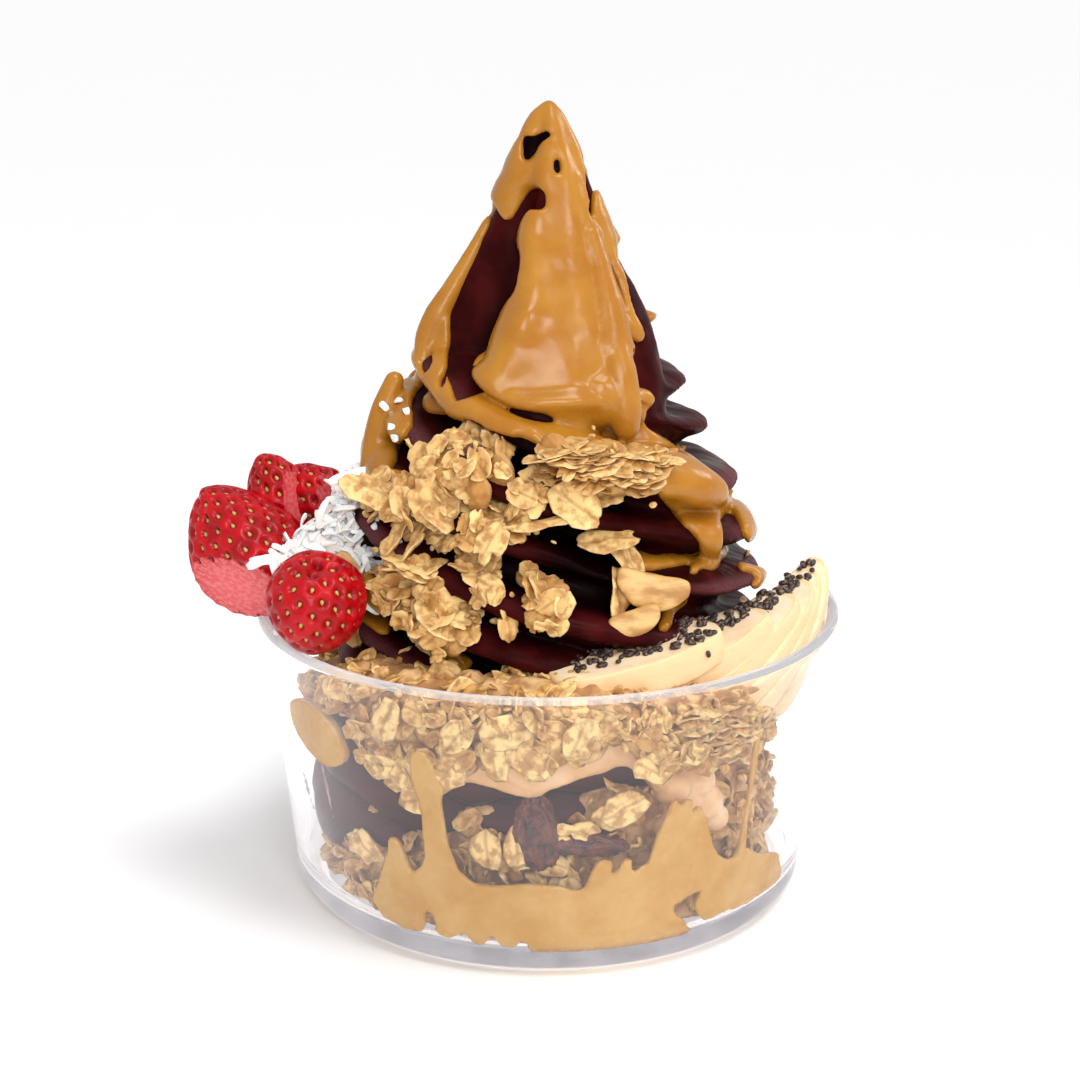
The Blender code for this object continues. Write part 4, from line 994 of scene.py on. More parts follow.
def crumb_kinds(seed):
    """Broken oat crumbs about 3 mm across."""
    rng = np.random.default_rng(seed)
    kinds = []
    for _ in range(CRUMBS):
        obj, unit = sphere("crumb", 2)
        lumps = 1 + 0.25 * waves(unit, 1.6, int(rng.integers(999)))
        kinds.append(Kind(obj, unit * lumps[:, None] * [1.7, 1.3, 0.9]))
    return kinds


def any_oat(rng):
    """The number of a flake's kind, drawn at random."""
    return int(rng.integers(OATS))


def any_crumb(rng):
    """The number of a crumb's kind, drawn at random; crumbs follow the flakes."""
    return OATS + int(rng.integers(CRUMBS))


def crumb_bed_finish(name):
    """What lies between the flakes: crumbs soaked with sauce, in deep caramel."""
    finish = Finish(name, roughness=0.6, specular_ior_level=0.25)
    finish.colour(finish.mottled(finish.noise(5.0, detail=4.0), 0.38, 0.64, (0.40, 0.19, 0.07),
                                 (0.76, 0.47, 0.22)))
    finish.bump(finish.noise(1.4, detail=4.0), 0.4, 0.8)
    return finish.material


def granola_finish(name):
    """Baked oats: golden tan, paler and more toasted from flake to flake."""
    finish = Finish(name, roughness=0.62, specular_ior_level=0.35, subsurface_weight=0.12,
                    subsurface_scale=0.0015, subsurface_radius=(1.0, 0.6, 0.3))
    local = finish.marked()
    body = finish.mottled(local[2], 0.0, 1.0, (0.47, 0.215, 0.042), (0.92, 0.63, 0.26))
    body = finish.blend(finish.span(finish.noise(2.6, detail=4.0), 0.40, 0.64, 0.0, 0.75), body,
                        (0.36, 0.14, 0.028))
    # Painted shade along each flake's middle crease.
    crease = finish.span(finish.math("ABSOLUTE", local[1]), 0.02, 0.16, 0.45, 0.0)
    body = finish.blend(crease, body, (0.32, 0.13, 0.03))
    edge = finish.math("ADD", finish.math("MULTIPLY", local[0], local[0]),
                       finish.math("MULTIPLY", local[1], local[1]))
    body = finish.blend(finish.span(edge, 0.55, 1.0, 0.0, 0.35), body, (0.90, 0.66, 0.34))
    finish.colour(body)
    finish.bump(finish.noise(0.8, detail=4.0, rough=0.7), 0.16, 0.7)
    finish.bump(finish.cells(1.6), 0.2, 0.4)
    return finish.material


# ---- granola on the swirl ------------------------------------------------------------------
CLUSTERS = [  # outline on the front, flakes, lie ("flat" for a stack seen edge-on), thickness
    ([(-33.7, 109.8), (-27.6, 115.2), (-21.6, 115.2), (-18.6, 118.3), (-13.4, 118.3),
      (-9.7, 114.4), (-9.7, 109), (-10.5, 104.7), (-14.2, 106.7), (-16.5, 102),
      (-20.3, 100.8), (-27, 102.8), (-31.5, 105.9)], 44, "loose", 6.5),
    ([(-3.7, 109.8), (-0.7, 115.6), (9, 116.7), (18.8, 114.8), (26.3, 115.2), (32.3, 111.7),
      (28.6, 107.5), (27.9, 103.9), (5.3, 104.7), (-0.7, 106.3)], 60, "flat", 6.0),
    ([(-48.1, 102), (-43.5, 107.1), (-37.5, 106.7), (-36, 103.6), (-30.8, 103.6), (-24, 102),
      (-23.7, 96.5), (-27.9, 92.2), (-33.2, 92.6), (-39.9, 96.5), (-45.2, 98.9)], 34, "loose", 4.5),
    ([(-27.9, 89.4), (-23.4, 94.1), (-17.3, 96.5), (-13.5, 99.6), (-8.2, 102), (-5.2, 106.7),
      (-2.2, 106.7), (0.8, 103.6), (-2.2, 101.2), (-5.2, 98.9), (-6.7, 95.7), (-6.7, 89.4),
      (-8.3, 87.8), (-11.3, 89.4), (-12.4, 94.1), (-18.1, 90.2), (-24.9, 88.6)], 26, "loose", 3.5),
    ([(-23.4, 88.2), (-18.1, 88.2), (-14.7, 84.6), (-13.6, 78.3), (-12.9, 72.6), (-17.5, 72.6),
      (-18.6, 77.5), (-22, 82.3)], 15, "loose", 4.0),
    ([(-6.8, 81.5), (0.1, 81.5), (0.5, 78.3), (2.4, 74.3), (5, 72.6), (4.3, 67), (-3.8, 66.2),
      (-6, 69.4), (-6.4, 73.5), (-5.3, 76.7)], 16, "loose", 4.5),
    ([(-42.4, 86.2), (-36.3, 86.2), (-28.8, 83.5), (-34.9, 81.5), (-42.5, 81.5)], 8, "flat", 3.5),
    ([(-47.1, 78.3), (-38.8, 78.3), (-33.4, 79.9), (-31.1, 81.9), (-25.8, 78.3), (-26.6, 73.5),
      (-34.3, 70.2), (-42, 71), (-45.7, 75.1)], 26, "loose", 5.0),
    ([(-38.1, 73.5), (-27.4, 74.3), (-21.3, 75.1), (-17.1, 71.8), (-17.5, 66.2), (-19.9, 62.1),
      (-26, 59.7), (-33, 60.5), (-31.4, 64.6), (-37.4, 67.8)], 34, "loose", 5.0)]
LONE_FLAKES = [  # spot on the front, half length, half width, turn in degrees, tint, lean
    ((-42.8, 103.9), 8.5, 4.4, 25, 0.85, 0.2), ((-29.7, 99.3), 6.6, 6.2, 10, 0.6, 0.1),
    ((16.3, 92.6), 7.6, 4.0, -5, 0.7, 0.7), ((-2, 96.9), 9.0, 2.6, -8, 0.75, 1.2),
    ((7.0, 98.5), 7.5, 5.0, 35, 1.0, 0.3), ((13.5, 102.5), 5.0, 3.2, -20, 1.0, 0.3),
    ((-9.7, 68.8), 4.2, 3.0, 80, 0.5, 0.5), ((-22.4, 81.9), 3.4, 1.6, 20, 0.5, 0.6),
    ((-38.5, 90.6), 7.5, 2.6, -60, 0.65, 0.9), ((-34.6, 88.6), 6.5, 2.2, -58, 0.7, 1.0),
    ((-33.5, 65.0), 3.8, 3.4, 40, 0.9, 0.2), ((-50.6, 78), 8.0, 5.0, 70, 0.35, 0.4),
    ((-49.5, 70.5), 8.0, 4.6, 80, 0.3, 0.6), ((20.6, 83.5), 7.8, 4.2, 62, 0.8, 0.9),
    ((18.6, 78), 6.5, 3.8, 85, 0.7, 0.9), ((-14.5, 90), 5.5, 4.0, -60, 0.8, 0.3),
    ((-31.5, 75), 7.0, 5.6, 20, 1.0, 0.2), ((-26.5, 69), 8.0, 6.0, 30, 0.75, 0.3),
    ((-20, 103.5), 7.0, 5.0, 10, 0.7, 0.4), ((-24.5, 106.5), 7.5, 6.0, 30, 0.75, 0.3)]
CRUMB_SPOTS = [(-5.5, 94), (1.0, 89.5), (-3.5, 92.5), (-9.5, 75), (-12, 69.5), (-41, 76), (-22.5, 87.5),
    (-30, 88), (-44, 88.5), (-34.5, 90.5), (-13.5, 69)]


def grown_outline(outline, by):
    """An outline pulled towards its middle (by < 0) or pushed out from it."""
    points = np.array(outline, float)
    middle = points.mean(0)
    away = points - middle
    return middle + away * (1 + by / np.maximum(np.linalg.norm(away, axis=1), 1.0))[:, None]


def spots_inside(outline, count, gap, rng):
    """Evenly scattered spots inside a closed outline."""
    points = np.array(outline)
    low, high = points.min(0), points.max(0)
    tries = rng.uniform(low, high, (4000, 2))
    tries = tries[inside_by(tries, points) > 0]
    chosen = []
    while len(chosen) < count and gap > 0.3:
        for spot in tries:
            if all((spot[0] - o[0]) ** 2 + (spot[1] - o[1]) ** 2 > gap ** 2 for o in chosen):
                chosen.append(spot)
                if len(chosen) == count:
                    break
        gap *= 0.8
    return chosen


def lying(hit, turn, lean=0.0):
    """The way to the eye from a hit, and a frame turned by degrees there and leant about its length."""
    view = (EYE - hit) / np.linalg.norm(EYE - hit)
    up = np.cross(view, [1.0, 0, 0])
    angle = math.radians(turn)
    axis = np.array([1.0, 0, 0]) * math.cos(angle) - up * math.sin(angle)
    tipped = view * math.cos(lean) + np.cross(view, axis) * math.sin(lean)
    return view, columns(axis, np.cross(tipped, axis), tipped)


def granola_on_swirl():
    """Clusters of oat flakes stuck to the swirl, with lone flakes and crumbs between them."""
    rng = np.random.default_rng(21)
    skin = Skin("swirl", "sauce_on_swirl")
    kinds = oat_kinds(26, 8, 4) + crumb_kinds(5)
    places = []

    def stick(kind, spot, rise, lean, spin, size, tint):
        hit, normal = skin.front(spot)
        out = normal * 0.75 + (EYE - hit) / EYE_AWAY * 0.35
        out /= np.linalg.norm(out)
        turn = basis(out + np.asarray(lean), spin) @ np.diag(size)
        places.append((kind, turn, hit + normal * rise, tint))

    for outline, count, lie, thick in CLUSTERS:
        heart = spots_inside(grown_outline(outline, -2.5), max(5, count // 4), 4.0, rng)
        for spot in heart:
            size = thick * 0.42
            stick(any_crumb(rng), spot, size * 0.5, rng.normal(0, 0.3, 3), rng.uniform(0, 6),
                  (size, size * 1.1, size), rng.uniform(0.1, 0.5))
        for number, spot in enumerate(spots_inside(grown_outline(outline, -1.6), count, 3.2, rng)):
            share = rng.uniform(0.2, 1.0)
            tint = rng.uniform(0.3, 1.0)
            if lie == "flat":
                hit = skin.front(spot)[0]
                out = np.array([rng.normal(0, 0.06), -0.1 + rng.normal(0, 0.08), 1.0])
                size = (rng.uniform(0.9, 1.8), rng.uniform(0.8, 1.2), rng.uniform(0.45, 0.8))
                nearer = (hit[1] - thick * 0.7 - EYE[1]) / -EYE[1]
                where = EYE + (np.array([spot[0], 0, spot[1]]) - EYE) * nearer
                places.append((number % OATS, basis(out) @ np.diag(size), where, tint))
            else:
                scale = rng.uniform(0.5, 1.0)
                stick(number % OATS, spot, thick * share, rng.normal(0, 0.42, 3), rng.uniform(0, 6),
                      (scale, scale, 1.0), tint)
        for spot in spots_inside(outline, count // 3, 2.0, rng):
            scale = rng.uniform(0.4, 0.9)
            stick(any_crumb(rng), spot, rng.uniform(0.5, thick), rng.normal(0, 0.6, 3),
                  rng.uniform(0, 6), (scale, scale, scale), rng.uniform(0.2, 1.0))
    for number, (spot, long, wide, turn, tint, lean) in enumerate(LONE_FLAKES):
        hit, normal = skin.front(spot)
        view, frame = lying(hit, turn, lean)
        places.append((number % OATS, frame @ np.diag((long / OAT_LONG, wide / OAT_WIDE, 1.2)),
                       hit + normal * 1.6 + view * 2.5, tint))
    for spot in CRUMB_SPOTS:
        scale = rng.uniform(0.4, 0.9)
        stick(any_crumb(rng), spot, 0.8, rng.normal(0, 0.6, 3), rng.uniform(0, 6),
              (scale, scale, scale), rng.uniform(0.4, 1.0))
    nodes = ["granola_slab", "granola_crag", "granola_cluster_left", "granola_strip", "granola_chip",
             "granola_knot", "granola_cluster_low", "granola_cluster_foot"]
    obj = spread("granola_on_swirl", kinds, places)
    settled(obj, shared("baked_oats", granola_finish), "granola", *nodes)


def nut():
    """A curled slice of nut beside the sauce on the right, and a smaller one below it."""
    skin = Skin("swirl", "sauce_on_swirl")
    parts = []
    for spot, size, turn in [((26.8, 76.3), (9.0, 4.4, 3.4), 12), ((23.0, 68.0), (6.4, 3.2, 2.4), -18)]:
        obj, unit = sphere("nut", 48, 28)
        flat = np.sign(unit) * np.abs(unit) ** [0.95, 0.8, 0.55]
        body = flat * size
        body[:, 1] += 0.035 * body[:, 0] ** 2
        body[:, 2] += 0.02 * body[:, 0] ** 2
        body += waves(body, 5, 3)[:, None] * 0.25 * unit
        hit = skin.front(spot)[0]
        view, frame = lying(hit, turn)
        write(obj, body @ frame.T + hit + view * 3.0)
        parts.append(obj)
    finish = Finish("nut", roughness=0.5, subsurface_weight=0.15, subsurface_scale=0.002)
    finish.colour(finish.mottled(finish.noise(3.0, detail=3.0, stretch=(0.4, 1, 1)), 0.35, 0.65,
                                 (0.42, 0.20, 0.05), (0.74, 0.45, 0.17)))
    finish.bump(finish.noise(1.6, detail=5.0), 0.3, 0.8)
    settled(joined(parts, "nut_slices"), finish.material, "granola", "nut_slice")


# ---- the layers in the bowl ----------------------------------------------------------------
FLOOR_LINE = [(-180, 3.8)]
LOWER_TOP = [(-180, 20), (-155, 20), (-144, 29), (-138, 30), (-134, 27), (-127, 28.5), (-121, 33),
    (-110, 38), (-100, 37), (-94, 33), (-88, 34), (-82, 40), (-79, 45), (-74, 49), (-70, 48), (-64, 43),
    (-45, 40), (-20, 37), (40, 31), (110, 29)]
LOWER_REACH = [(-180, 56), (-100, 57.5), (0, 56), (90, 56)]
CREAM_TOP = [(-180, 46), (-155, 64), (-140, 60), (-130, 47), (-120, 44), (-97, 48), (-78, 52), (-65, 48),
    (-50, 44), (-20, 41), (40, 42), (110, 44)]
CREAM_REACH = [(-180, 62), (-150, 62), (-110, 59), (-60, 57), (-30, 55.5), (60, 58), (120, 61)]
DRAPE_LOW = [(-180, 44), (-140, 50), (-128, 47), (-125, 46), (-123.6, 42.6), (-123, 38.2), (-121.8, 37.2),
    (-120.5, 38.5), (-119.6, 43.7), (-112, 46.8), (-106, 47.2), (-98.5, 45.1), (-92.7, 43.7), (-90, 46.5),
    (-80, 50), (-72, 52), (-67, 47), (-62, 41), (-57, 41), (-53, 45), (-40, 43), (0, 41.5), (90, 43),
    (140, 43)]
DRAPE_TOP = [(-180, 48), (-150, 50), (-138, 55), (-128, 52), (-112, 53), (-104, 56), (-90, 58), (-77, 61),
    (-66, 56), (-50, 50), (-20, 46), (40, 45), (110, 47)]
DRAPE_REACH = [(-180, 57), (-150, 58), (-120, 60.5), (-90, 61.5), (-60, 60.5), (-40, 58), (0, 57)]
OATS_LOW = [(-180, 50), (-150, 58), (-138, 59), (-134, 55), (-133, 49), (-128.7, 47), (-119, 45),
    (-112, 48), (-106, 53), (-96, 54), (-94, 52), (-88, 54.5), (-82.9, 55), (-77, 59.5), (-70, 57),
    (-68, 52), (-60, 51), (-49, 47), (-20, 46), (40, 45), (110, 47)]
OATS_TOP = [(-180, 56), (-165, 58), (-150, 62), (-140, 71), (-110, 72), (-87, 72.5), (-60, 70), (-42, 66),
    (-30, 60), (-20, 54), (20, 50), (90, 50), (150, 52)]
OATS_REACH = [(-180, 59), (-160, 61), (-138, 66), (-60, 66.5), (-45, 64), (-35, 60), (-20, 57), (20, 57),
    (150, 57)]


def disc(unit):
    """A sphere's points laid out as a disc: how far across from the axis, and how far down its side."""
    t = np.arccos(np.clip(unit[:, 2], -1, 1)) / math.pi
    across = np.where(t < 0.3, t / 0.3, np.where(t > 0.7, (1 - t) / 0.3, 1.0))
    return across, np.clip((t - 0.3) / 0.4, 0, 1)


def layer_body(name, low, high, reach, heart, relief, seed, segments=256, rings=72):
    """A closed layer between two borders: keys of height and reach, level at its heart."""
    obj, unit = sphere(name, segments, rings)
    azimuth = azimuth_of(unit)
    top, bottom = around(high, azimuth), around(low, azimuth)
    far = around(reach, azimuth)
    across, rise = disc(unit)
    hub = step(0.62, 0.9, across)
    z_top = heart[1] + (top - heart[1]) * hub
    z_low = heart[0] + (bottom - heart[0]) * hub
    z = z_top + (z_low - z_top) * (0.5 - 0.5 * np.cos(rise * math.pi))
    r = far * across * (0.955 + 0.045 * np.sin(rise * math.pi) ** 0.5)
    points = columns(r * np.cos(azimuth), r * np.sin(azimuth), z)
    write(obj, points)
    bumps = sum(height * np.abs(waves(points, size, seed + i)) for i, (size, height) in enumerate(relief))
    return write(obj, points + facing(obj) * bumps[:, None])


def pressed(points, bowl, into=0.0):
    """Points held inside the bowl, flattened where they would pass its wall or floor."""
    z = np.maximum(points[:, 2], bowl.floor + 0.02)
    limit = bowl.inner(z) + into
    shrink = np.minimum(1.0, limit / np.maximum(radius_of(points), 1e-6))
    return columns(points[:, 0] * shrink, points[:, 1] * shrink, z)


def band_flakes(low, high, reach, count, rng):
    """Places for flakes over the side of a layer, dense in front."""
    places = []
    while len(places) < count:
        azimuth = rng.uniform(-math.pi, math.pi)
        front = math.cos(azimuth + math.pi / 2)
        if rng.uniform() > 0.45 + 0.55 * step(-0.3, 0.3, front):
            continue
        bottom, top = float(around(low, azimuth)), float(around(high, azimuth))
        if top - bottom < 1.0:
            continue
        z = rng.uniform(bottom + 1.5, max(bottom + 1.6, top - 0.5))
        r = float(around(reach, azimuth)) + rng.uniform(-0.5, 2.2)
        out = np.array(polar(1.0, azimuth, 0.0)) + rng.normal(0, 0.62, 3)
        scale = rng.uniform(0.45, 0.98)
        turn = basis(out, rng.uniform(0, 6)) @ np.diag((scale, scale, 1.0))
        places.append((any_oat(rng), turn, polar(r, azimuth, z), rng.uniform(0.15, 1.0)))
    return places


def top_flakes(high, inner, outer, count, rng):
    """Places for flakes lying on a layer's top between two radii."""
    places = []
    for _ in range(count):
        azimuth = rng.uniform(-math.pi, math.pi)
        limit = float(around(outer, azimuth))
        r = math.sqrt(rng.uniform(inner ** 2, max(limit, inner + 1) ** 2))
        z = float(around(high, azimuth)) + rng.uniform(-0.5, 1.2)
        out = np.array([0, 0, 1.0]) + rng.normal(0, 0.65, 3)
        scale = rng.uniform(0.4, 0.95)
        turn = basis(out, rng.uniform(0, 6)) @ np.diag((scale, scale, 1.0))
        places.append((int(rng.integers(OATS + CRUMBS)), turn, polar(r, azimuth, z), rng.uniform(0.2, 1.0)))
    return places


STACK = [(-61.8, 67.2), (-54.2, 65.8), (-46, 64.9), (-40, 60.3), (-41.8, 56.4), (-45.7, 53),
         (-55.6, 54.4), (-61.3, 59.6)]            # azimuth and height of the layered cluster
PALE_FLAKES = [(-99, 64, 6.8), (-94.5, 57.5, 6.4), (-101, 58, 6), (-120, 50, 5.6), (-117.5, 44, 5.4),
    (-126, 51, 5), (-111, 52, 6.4), (-84.5, 63, 6.2), (-108, 62.5, 5.6), (-124, 63, 6), (-74, 44, 6.0),
    (-76, 39, 5.2), (-104, 31, 5.6), (-97, 33, 5.8), (-137, 24, 6), (-87, 35.5, 4.6), (-82, 36, 4.2),
    (-69, 53, 5.4)]
BED_BORDER = 43.5                             # pale flakes above this height lie in the upper bed


def granola_layer(name, low, high, reach, heart, bowl, counts, seed, node, extra):
    """A bed of granola: a crumbly body with counts of flakes at its side, on its top, and of crumbs."""
    rng = np.random.default_rng(seed)
    body = layer_body("bed", low, high, [(a, r - 2.0) for a, r in reach], heart,
                      [(9, 1.8), (4, 1.0), (2.2, 0.5)], seed)
    write(body, pressed(read(body), bowl, -0.6))
    tint = 0.25 + 0.2 * waves(read(body), 5, 9)
    mark(body, columns(np.full(len(tint), 0.3), np.full(len(tint), 0.4), tint))
    places = band_flakes(low, high, reach, counts[0], rng)
    if counts[1]:
        places += top_flakes(high, 46, reach, counts[1], rng)
    places += extra
    kinds = oat_kinds(12, 6, seed) + crumb_kinds(seed)
    for _ in range(counts[2]):
        azimuth = rng.uniform(-math.pi, math.pi)
        bottom, top = float(around(low, azimuth)), float(around(high, azimuth))
        z = rng.uniform(bottom, max(top, bottom + 1))
        r = float(around(reach, azimuth)) + rng.uniform(0, 2.5)
        scale = rng.uniform(0.35, 0.9)
        places.append((any_crumb(rng), basis(rng.normal(0, 1, 3)) * scale,
                       polar(r, azimuth, z), rng.uniform(0.2, 1)))
    flakes = spread("flakes", kinds, places)
    write(flakes, pressed(read(flakes), bowl, -0.05))
    flakes.data.materials.append(shared("baked_oats", granola_finish))
    body.data.materials.append(shared("soaked_crumbs", crumb_bed_finish))
    settled(joined([flakes, body], name), None, "granola", node)


def wall_spot(bowl, azimuth, z, depth):
    """A point this deep inside the wall at an azimuth in degrees."""
    return np.array(polar(float(bowl.inner(z)) - depth, math.radians(azimuth), z))


def pale_flakes(rng, jitter, low, high, where):
    """The pale flakes between two heights, lying flat against the glass."""
    places = []
    for azimuth, z, size in PALE_FLAKES:
        if low < z <= high:
            out = np.array(polar(1.0, math.radians(azimuth), 0.1)) + rng.normal(0, jitter, 3)
            turn = basis(out, rng.uniform(0, 6)) @ np.diag((size / OAT_LONG, size / 5.2, 1.3))
            places.append((any_oat(rng), turn, where(azimuth, z), 1.0))
    return places


def upper_extras(bowl):
    """The layered cluster at the right and the pale flakes lying flat on the glass."""
    rng = np.random.default_rng(8)
    places = []
    for spot in spots_inside([(a * 1.15, z) for a, z in STACK], 60, 2.0, rng):
        where = wall_spot(bowl, spot[0] / 1.15, spot[1], rng.uniform(1.5, 6))
        out = np.array([rng.normal(0, 0.15), rng.normal(0, 0.15), 1.0])
        turn = basis(out, rng.uniform(0, 6)) @ np.diag((rng.uniform(0.9, 1.3), 0.95, 1.1))
        places.append((any_oat(rng), turn, where, rng.uniform(0.3, 0.9)))
    return places + pale_flakes(rng, 0.08, BED_BORDER, 99.0, lambda a, z: wall_spot(bowl, a, z, 1.0))


def lower_extras():
    """Pale flakes at the front of the lower granola."""
    return pale_flakes(np.random.default_rng(9), 0.1, 0.0, BED_BORDER,
                       lambda a, z: polar(61.5, math.radians(a), z))


CREAM_CREASES = [(-180, 47), (-160, 47), (-147, 45.5), (-136, 43.5), (-125, 40), (-110, 36), (-90, 41),
    (-60, 38), (0, 36), (90, 36)]


def lower_cream(settings):
    """The coil of soft serve in the bowl, between the granola beds."""
    obj = layer_body("soft_serve_in_bowl", [(a, z - 3) for a, z in LOWER_TOP], CREAM_TOP,
                     CREAM_REACH, (26, 42), [(16, 0.8), (6, 0.25)], 31)
    points = read(obj)
    line = around(CREAM_CREASES, azimuth_of(points))
    crease = sum(np.exp(-np.abs((points[:, 2] - line - lift) / 2.6) ** 1.4) for lift in (2.0, 14.0, -12.0))
    radius = radius_of(points)
    points[:, :2] *= (1 - 6.0 * crease * (radius > 45) / np.maximum(radius, 1))[:, None]
    write(obj, points)
    up = facing(obj)[:, 2]
    # Painted light: the mark darkens the creases with painted shade and lightens faces turned up with frost
    # and painted sheen.
    mark(obj, columns(np.clip(crease, 0, 1) * 0.9, step(-0.1, 0.7, up) * 0.5, up * 0))
    settled(obj, shared("frozen_cream", soft_serve_finish, settings.colour), "soft_serve",
            "soft_serve_lower")


LUMPS = [(-60, 44, 9, 5.2), (-57, 38, 9.5, 5), (-52, 44, 9, 4.6), (-49, 37, 9, 5), (-53.5, 33, 9, 4.4),
         (-46, 32, 8.5, 4.2), (-60, 33, 9, 4)]    # azimuth, height, depth and radius of coated bits
FOLDS = [([(-66.5, 58), (-66, 52), (-64, 47)], 4.0), ([(-101, 57), (-98, 51), (-93, 48)], 3.0)]


def sauce_in_bowl(bowl_settings):
    """The middle run of sauce: a drape with a wavy edge, a drip and coated bits of granola."""
    bowl = Bowl(bowl_settings)
    drape = layer_body("drape", DRAPE_LOW, DRAPE_TOP, DRAPE_REACH, (43, 45), [(12, 0.8), (5, 0.3)], 41,
                       segments=720, rings=60)
    write(drape, relaxed(read(drape), pairs(drape), 4))
    where, sizes = strung([([wall_spot(bowl, a, z, 7.5) for a, z in line], [size, size * 0.7])
                           for line, size in FOLDS], 1.5)
    spots = [wall_spot(bowl, azimuth, z, depth) for azimuth, z, depth, _ in LUMPS] + list(where)
    bits = balls("bits", spots, [lump[3] for lump in LUMPS] + list(sizes))
    obj = melted(joined([drape, bits], "sauce_in_bowl"), 0.8, 4, faces=45000)
    # A lit copy of the sauce: painted paler to make up for the light that the glass holds back.
    settled(obj, shared("deep_butter", sauce_finish, (0.82, 0.51, 0.26)),
            "peanut_butter", "peanut_butter_middle")


# ---- the sauce on the glass: azimuth in degrees and way up the wall from its foot ------------
SMEAR = [(-125.6, 32), (-123.8, 32.5), (-122.3, 31), (-121.6, 28.1), (-120.7, 25.6), (-120, 23.8),
    (-118.3, 25.4), (-117, 27.9), (-116.7, 30.5), (-116.6, 35), (-116.6, 39.4), (-117.1, 42.6),
    (-118, 46.2), (-118.7, 50.4), (-118.6, 54.3), (-118.2, 56.8), (-116.6, 57.7), (-114.8, 57.3),
    (-113.6, 55.4), (-112.6, 52.9), (-112.5, 50.2), (-111.3, 50.1), (-111.4, 47.1), (-111.9, 44.6),
    (-111.7, 41.6), (-111.3, 36.7), (-110.8, 32.4), (-109.8, 29.5), (-109.1, 26.9), (-107.6, 25.4),
    (-105.9, 23.7), (-98.9, 24), (-95.1, 24.8), (-91.6, 24.7), (-87, 24.1), (-84.9, 22.9), (-82.8, 23),
    (-82, 25.2), (-81.2, 27.9), (-80.2, 30.4), (-77.9, 30.9), (-76.5, 29.7), (-77.1, 26.7), (-75.8, 27.1),
    (-74.8, 30), (-73.1, 30.8), (-72.2, 29.6), (-72.5, 26.3), (-70.3, 28.1), (-69, 28.4), (-68.3, 32.2),
    (-67.2, 36.4), (-66, 39.5), (-64.8, 43.1), (-63.8, 45), (-62.8, 44.3), (-62.3, 41.7), (-61.4, 43.9),
    (-60.2, 44.4), (-59.3, 42.8), (-59.7, 38.4), (-58.3, 41.2), (-57.3, 41.6), (-56.5, 38.7), (-55.1, 37.5),
    (-54.9, 34.4), (-53.8, 31.8), (-53.3, 29.4), (-51, 25.8), (-48.1, 23.7), (-45.3, 23.5), (-45.1, 27.1),
    (-40.6, 23.6), (-36.7, 20.6), (-28.5, 18.1), (-26.8, 14), (-24, 9.6), (-25, 7), (-32, 8), (-40, 7),
    (-47.6, 8.4), (-53.2, 7), (-56.5, 11.8), (-56.6, 15.1), (-54.9, 16.6), (-57, 17), (-60.1, 16.2),
    (-62.2, 14.7), (-61.7, 12.9), (-59.1, 10.1), (-55, 4), (-58, -3), (-62, -12), (-92, -12), (-94.5, 4),
    (-95.4, 10), (-97, 6), (-98.6, 4.6), (-100.7, 5), (-102.4, 10.4), (-103.8, 6), (-105.3, 4.6),
    (-107, 5.4), (-108.8, 9.6), (-111.9, 6.5), (-114, 6), (-115.8, 8), (-115.4, 10.6), (-114.9, 12.9),
    (-117.7, 13.8), (-117.4, 12.6), (-117.8, 9.2), (-119, 6.4), (-121.4, 5.4), (-123.5, 5.2), (-126, 6.4),
    (-129, 7.5), (-130.4, 9), (-130.6, 11), (-132.4, 12.4), (-129.2, 18.9), (-127.5, 24.6), (-125.6, 29.2)]
WALL_DROP = [(-156, 57.6), (-151.4, 60.5), (-146.1, 60.8), (-141.2, 58.9), (-138.2, 57), (-136.1, 53.3),
    (-135.6, 50.2), (-137.3, 47.2), (-140.6, 45.4), (-144.4, 45), (-150, 46.8), (-154.9, 49.8),
    (-156.7, 53.4)]
THREAD = [(-43.6, 61), (-42.8, 55.6), (-43.1, 49.8), (-43.2, 43.2), (-43.4, 37.7), (-44, 33.5),
    (-43.6, 27.6), (-44.5, 23)]
STREAKS = [([(-144.5, 45), (-143.4, 38), (-142.5, 31), (-141, 27)], 0.6),
           ([(-155, 40), (-153, 34), (-150.5, 29), (-149, 25)], 0.5)]


def wall_path(bowl, way):
    """Radius, height and the way out of the glass's inner face, by the way up from its foot."""
    top = bowl.floor + INNER_CORNER
    centre = float(bowl.outer(top)) - bowl.wall - INNER_CORNER
    angle = np.clip((top - way) / INNER_CORNER, 0, math.pi / 2)
    foot = top - INNER_CORNER * math.pi / 2
    radius = np.where(way >= top, bowl.outer(way) - bowl.wall, centre + INNER_CORNER * np.cos(angle))
    height = np.where(way >= top, way, top - INNER_CORNER * np.sin(angle))
    radius = np.where(way < foot, centre - (foot - way), radius)
    return radius, height, np.cos(angle), -np.sin(angle)


FILM_GRAIN = 0.55                             # mm between the points of a smear's sheet
GLASS_GRAIN = 0.5                             # mm: the mesh cells of what is smeared on the glass
FILM_INTO = 0.35                              # mm that a smear reaches into the glass


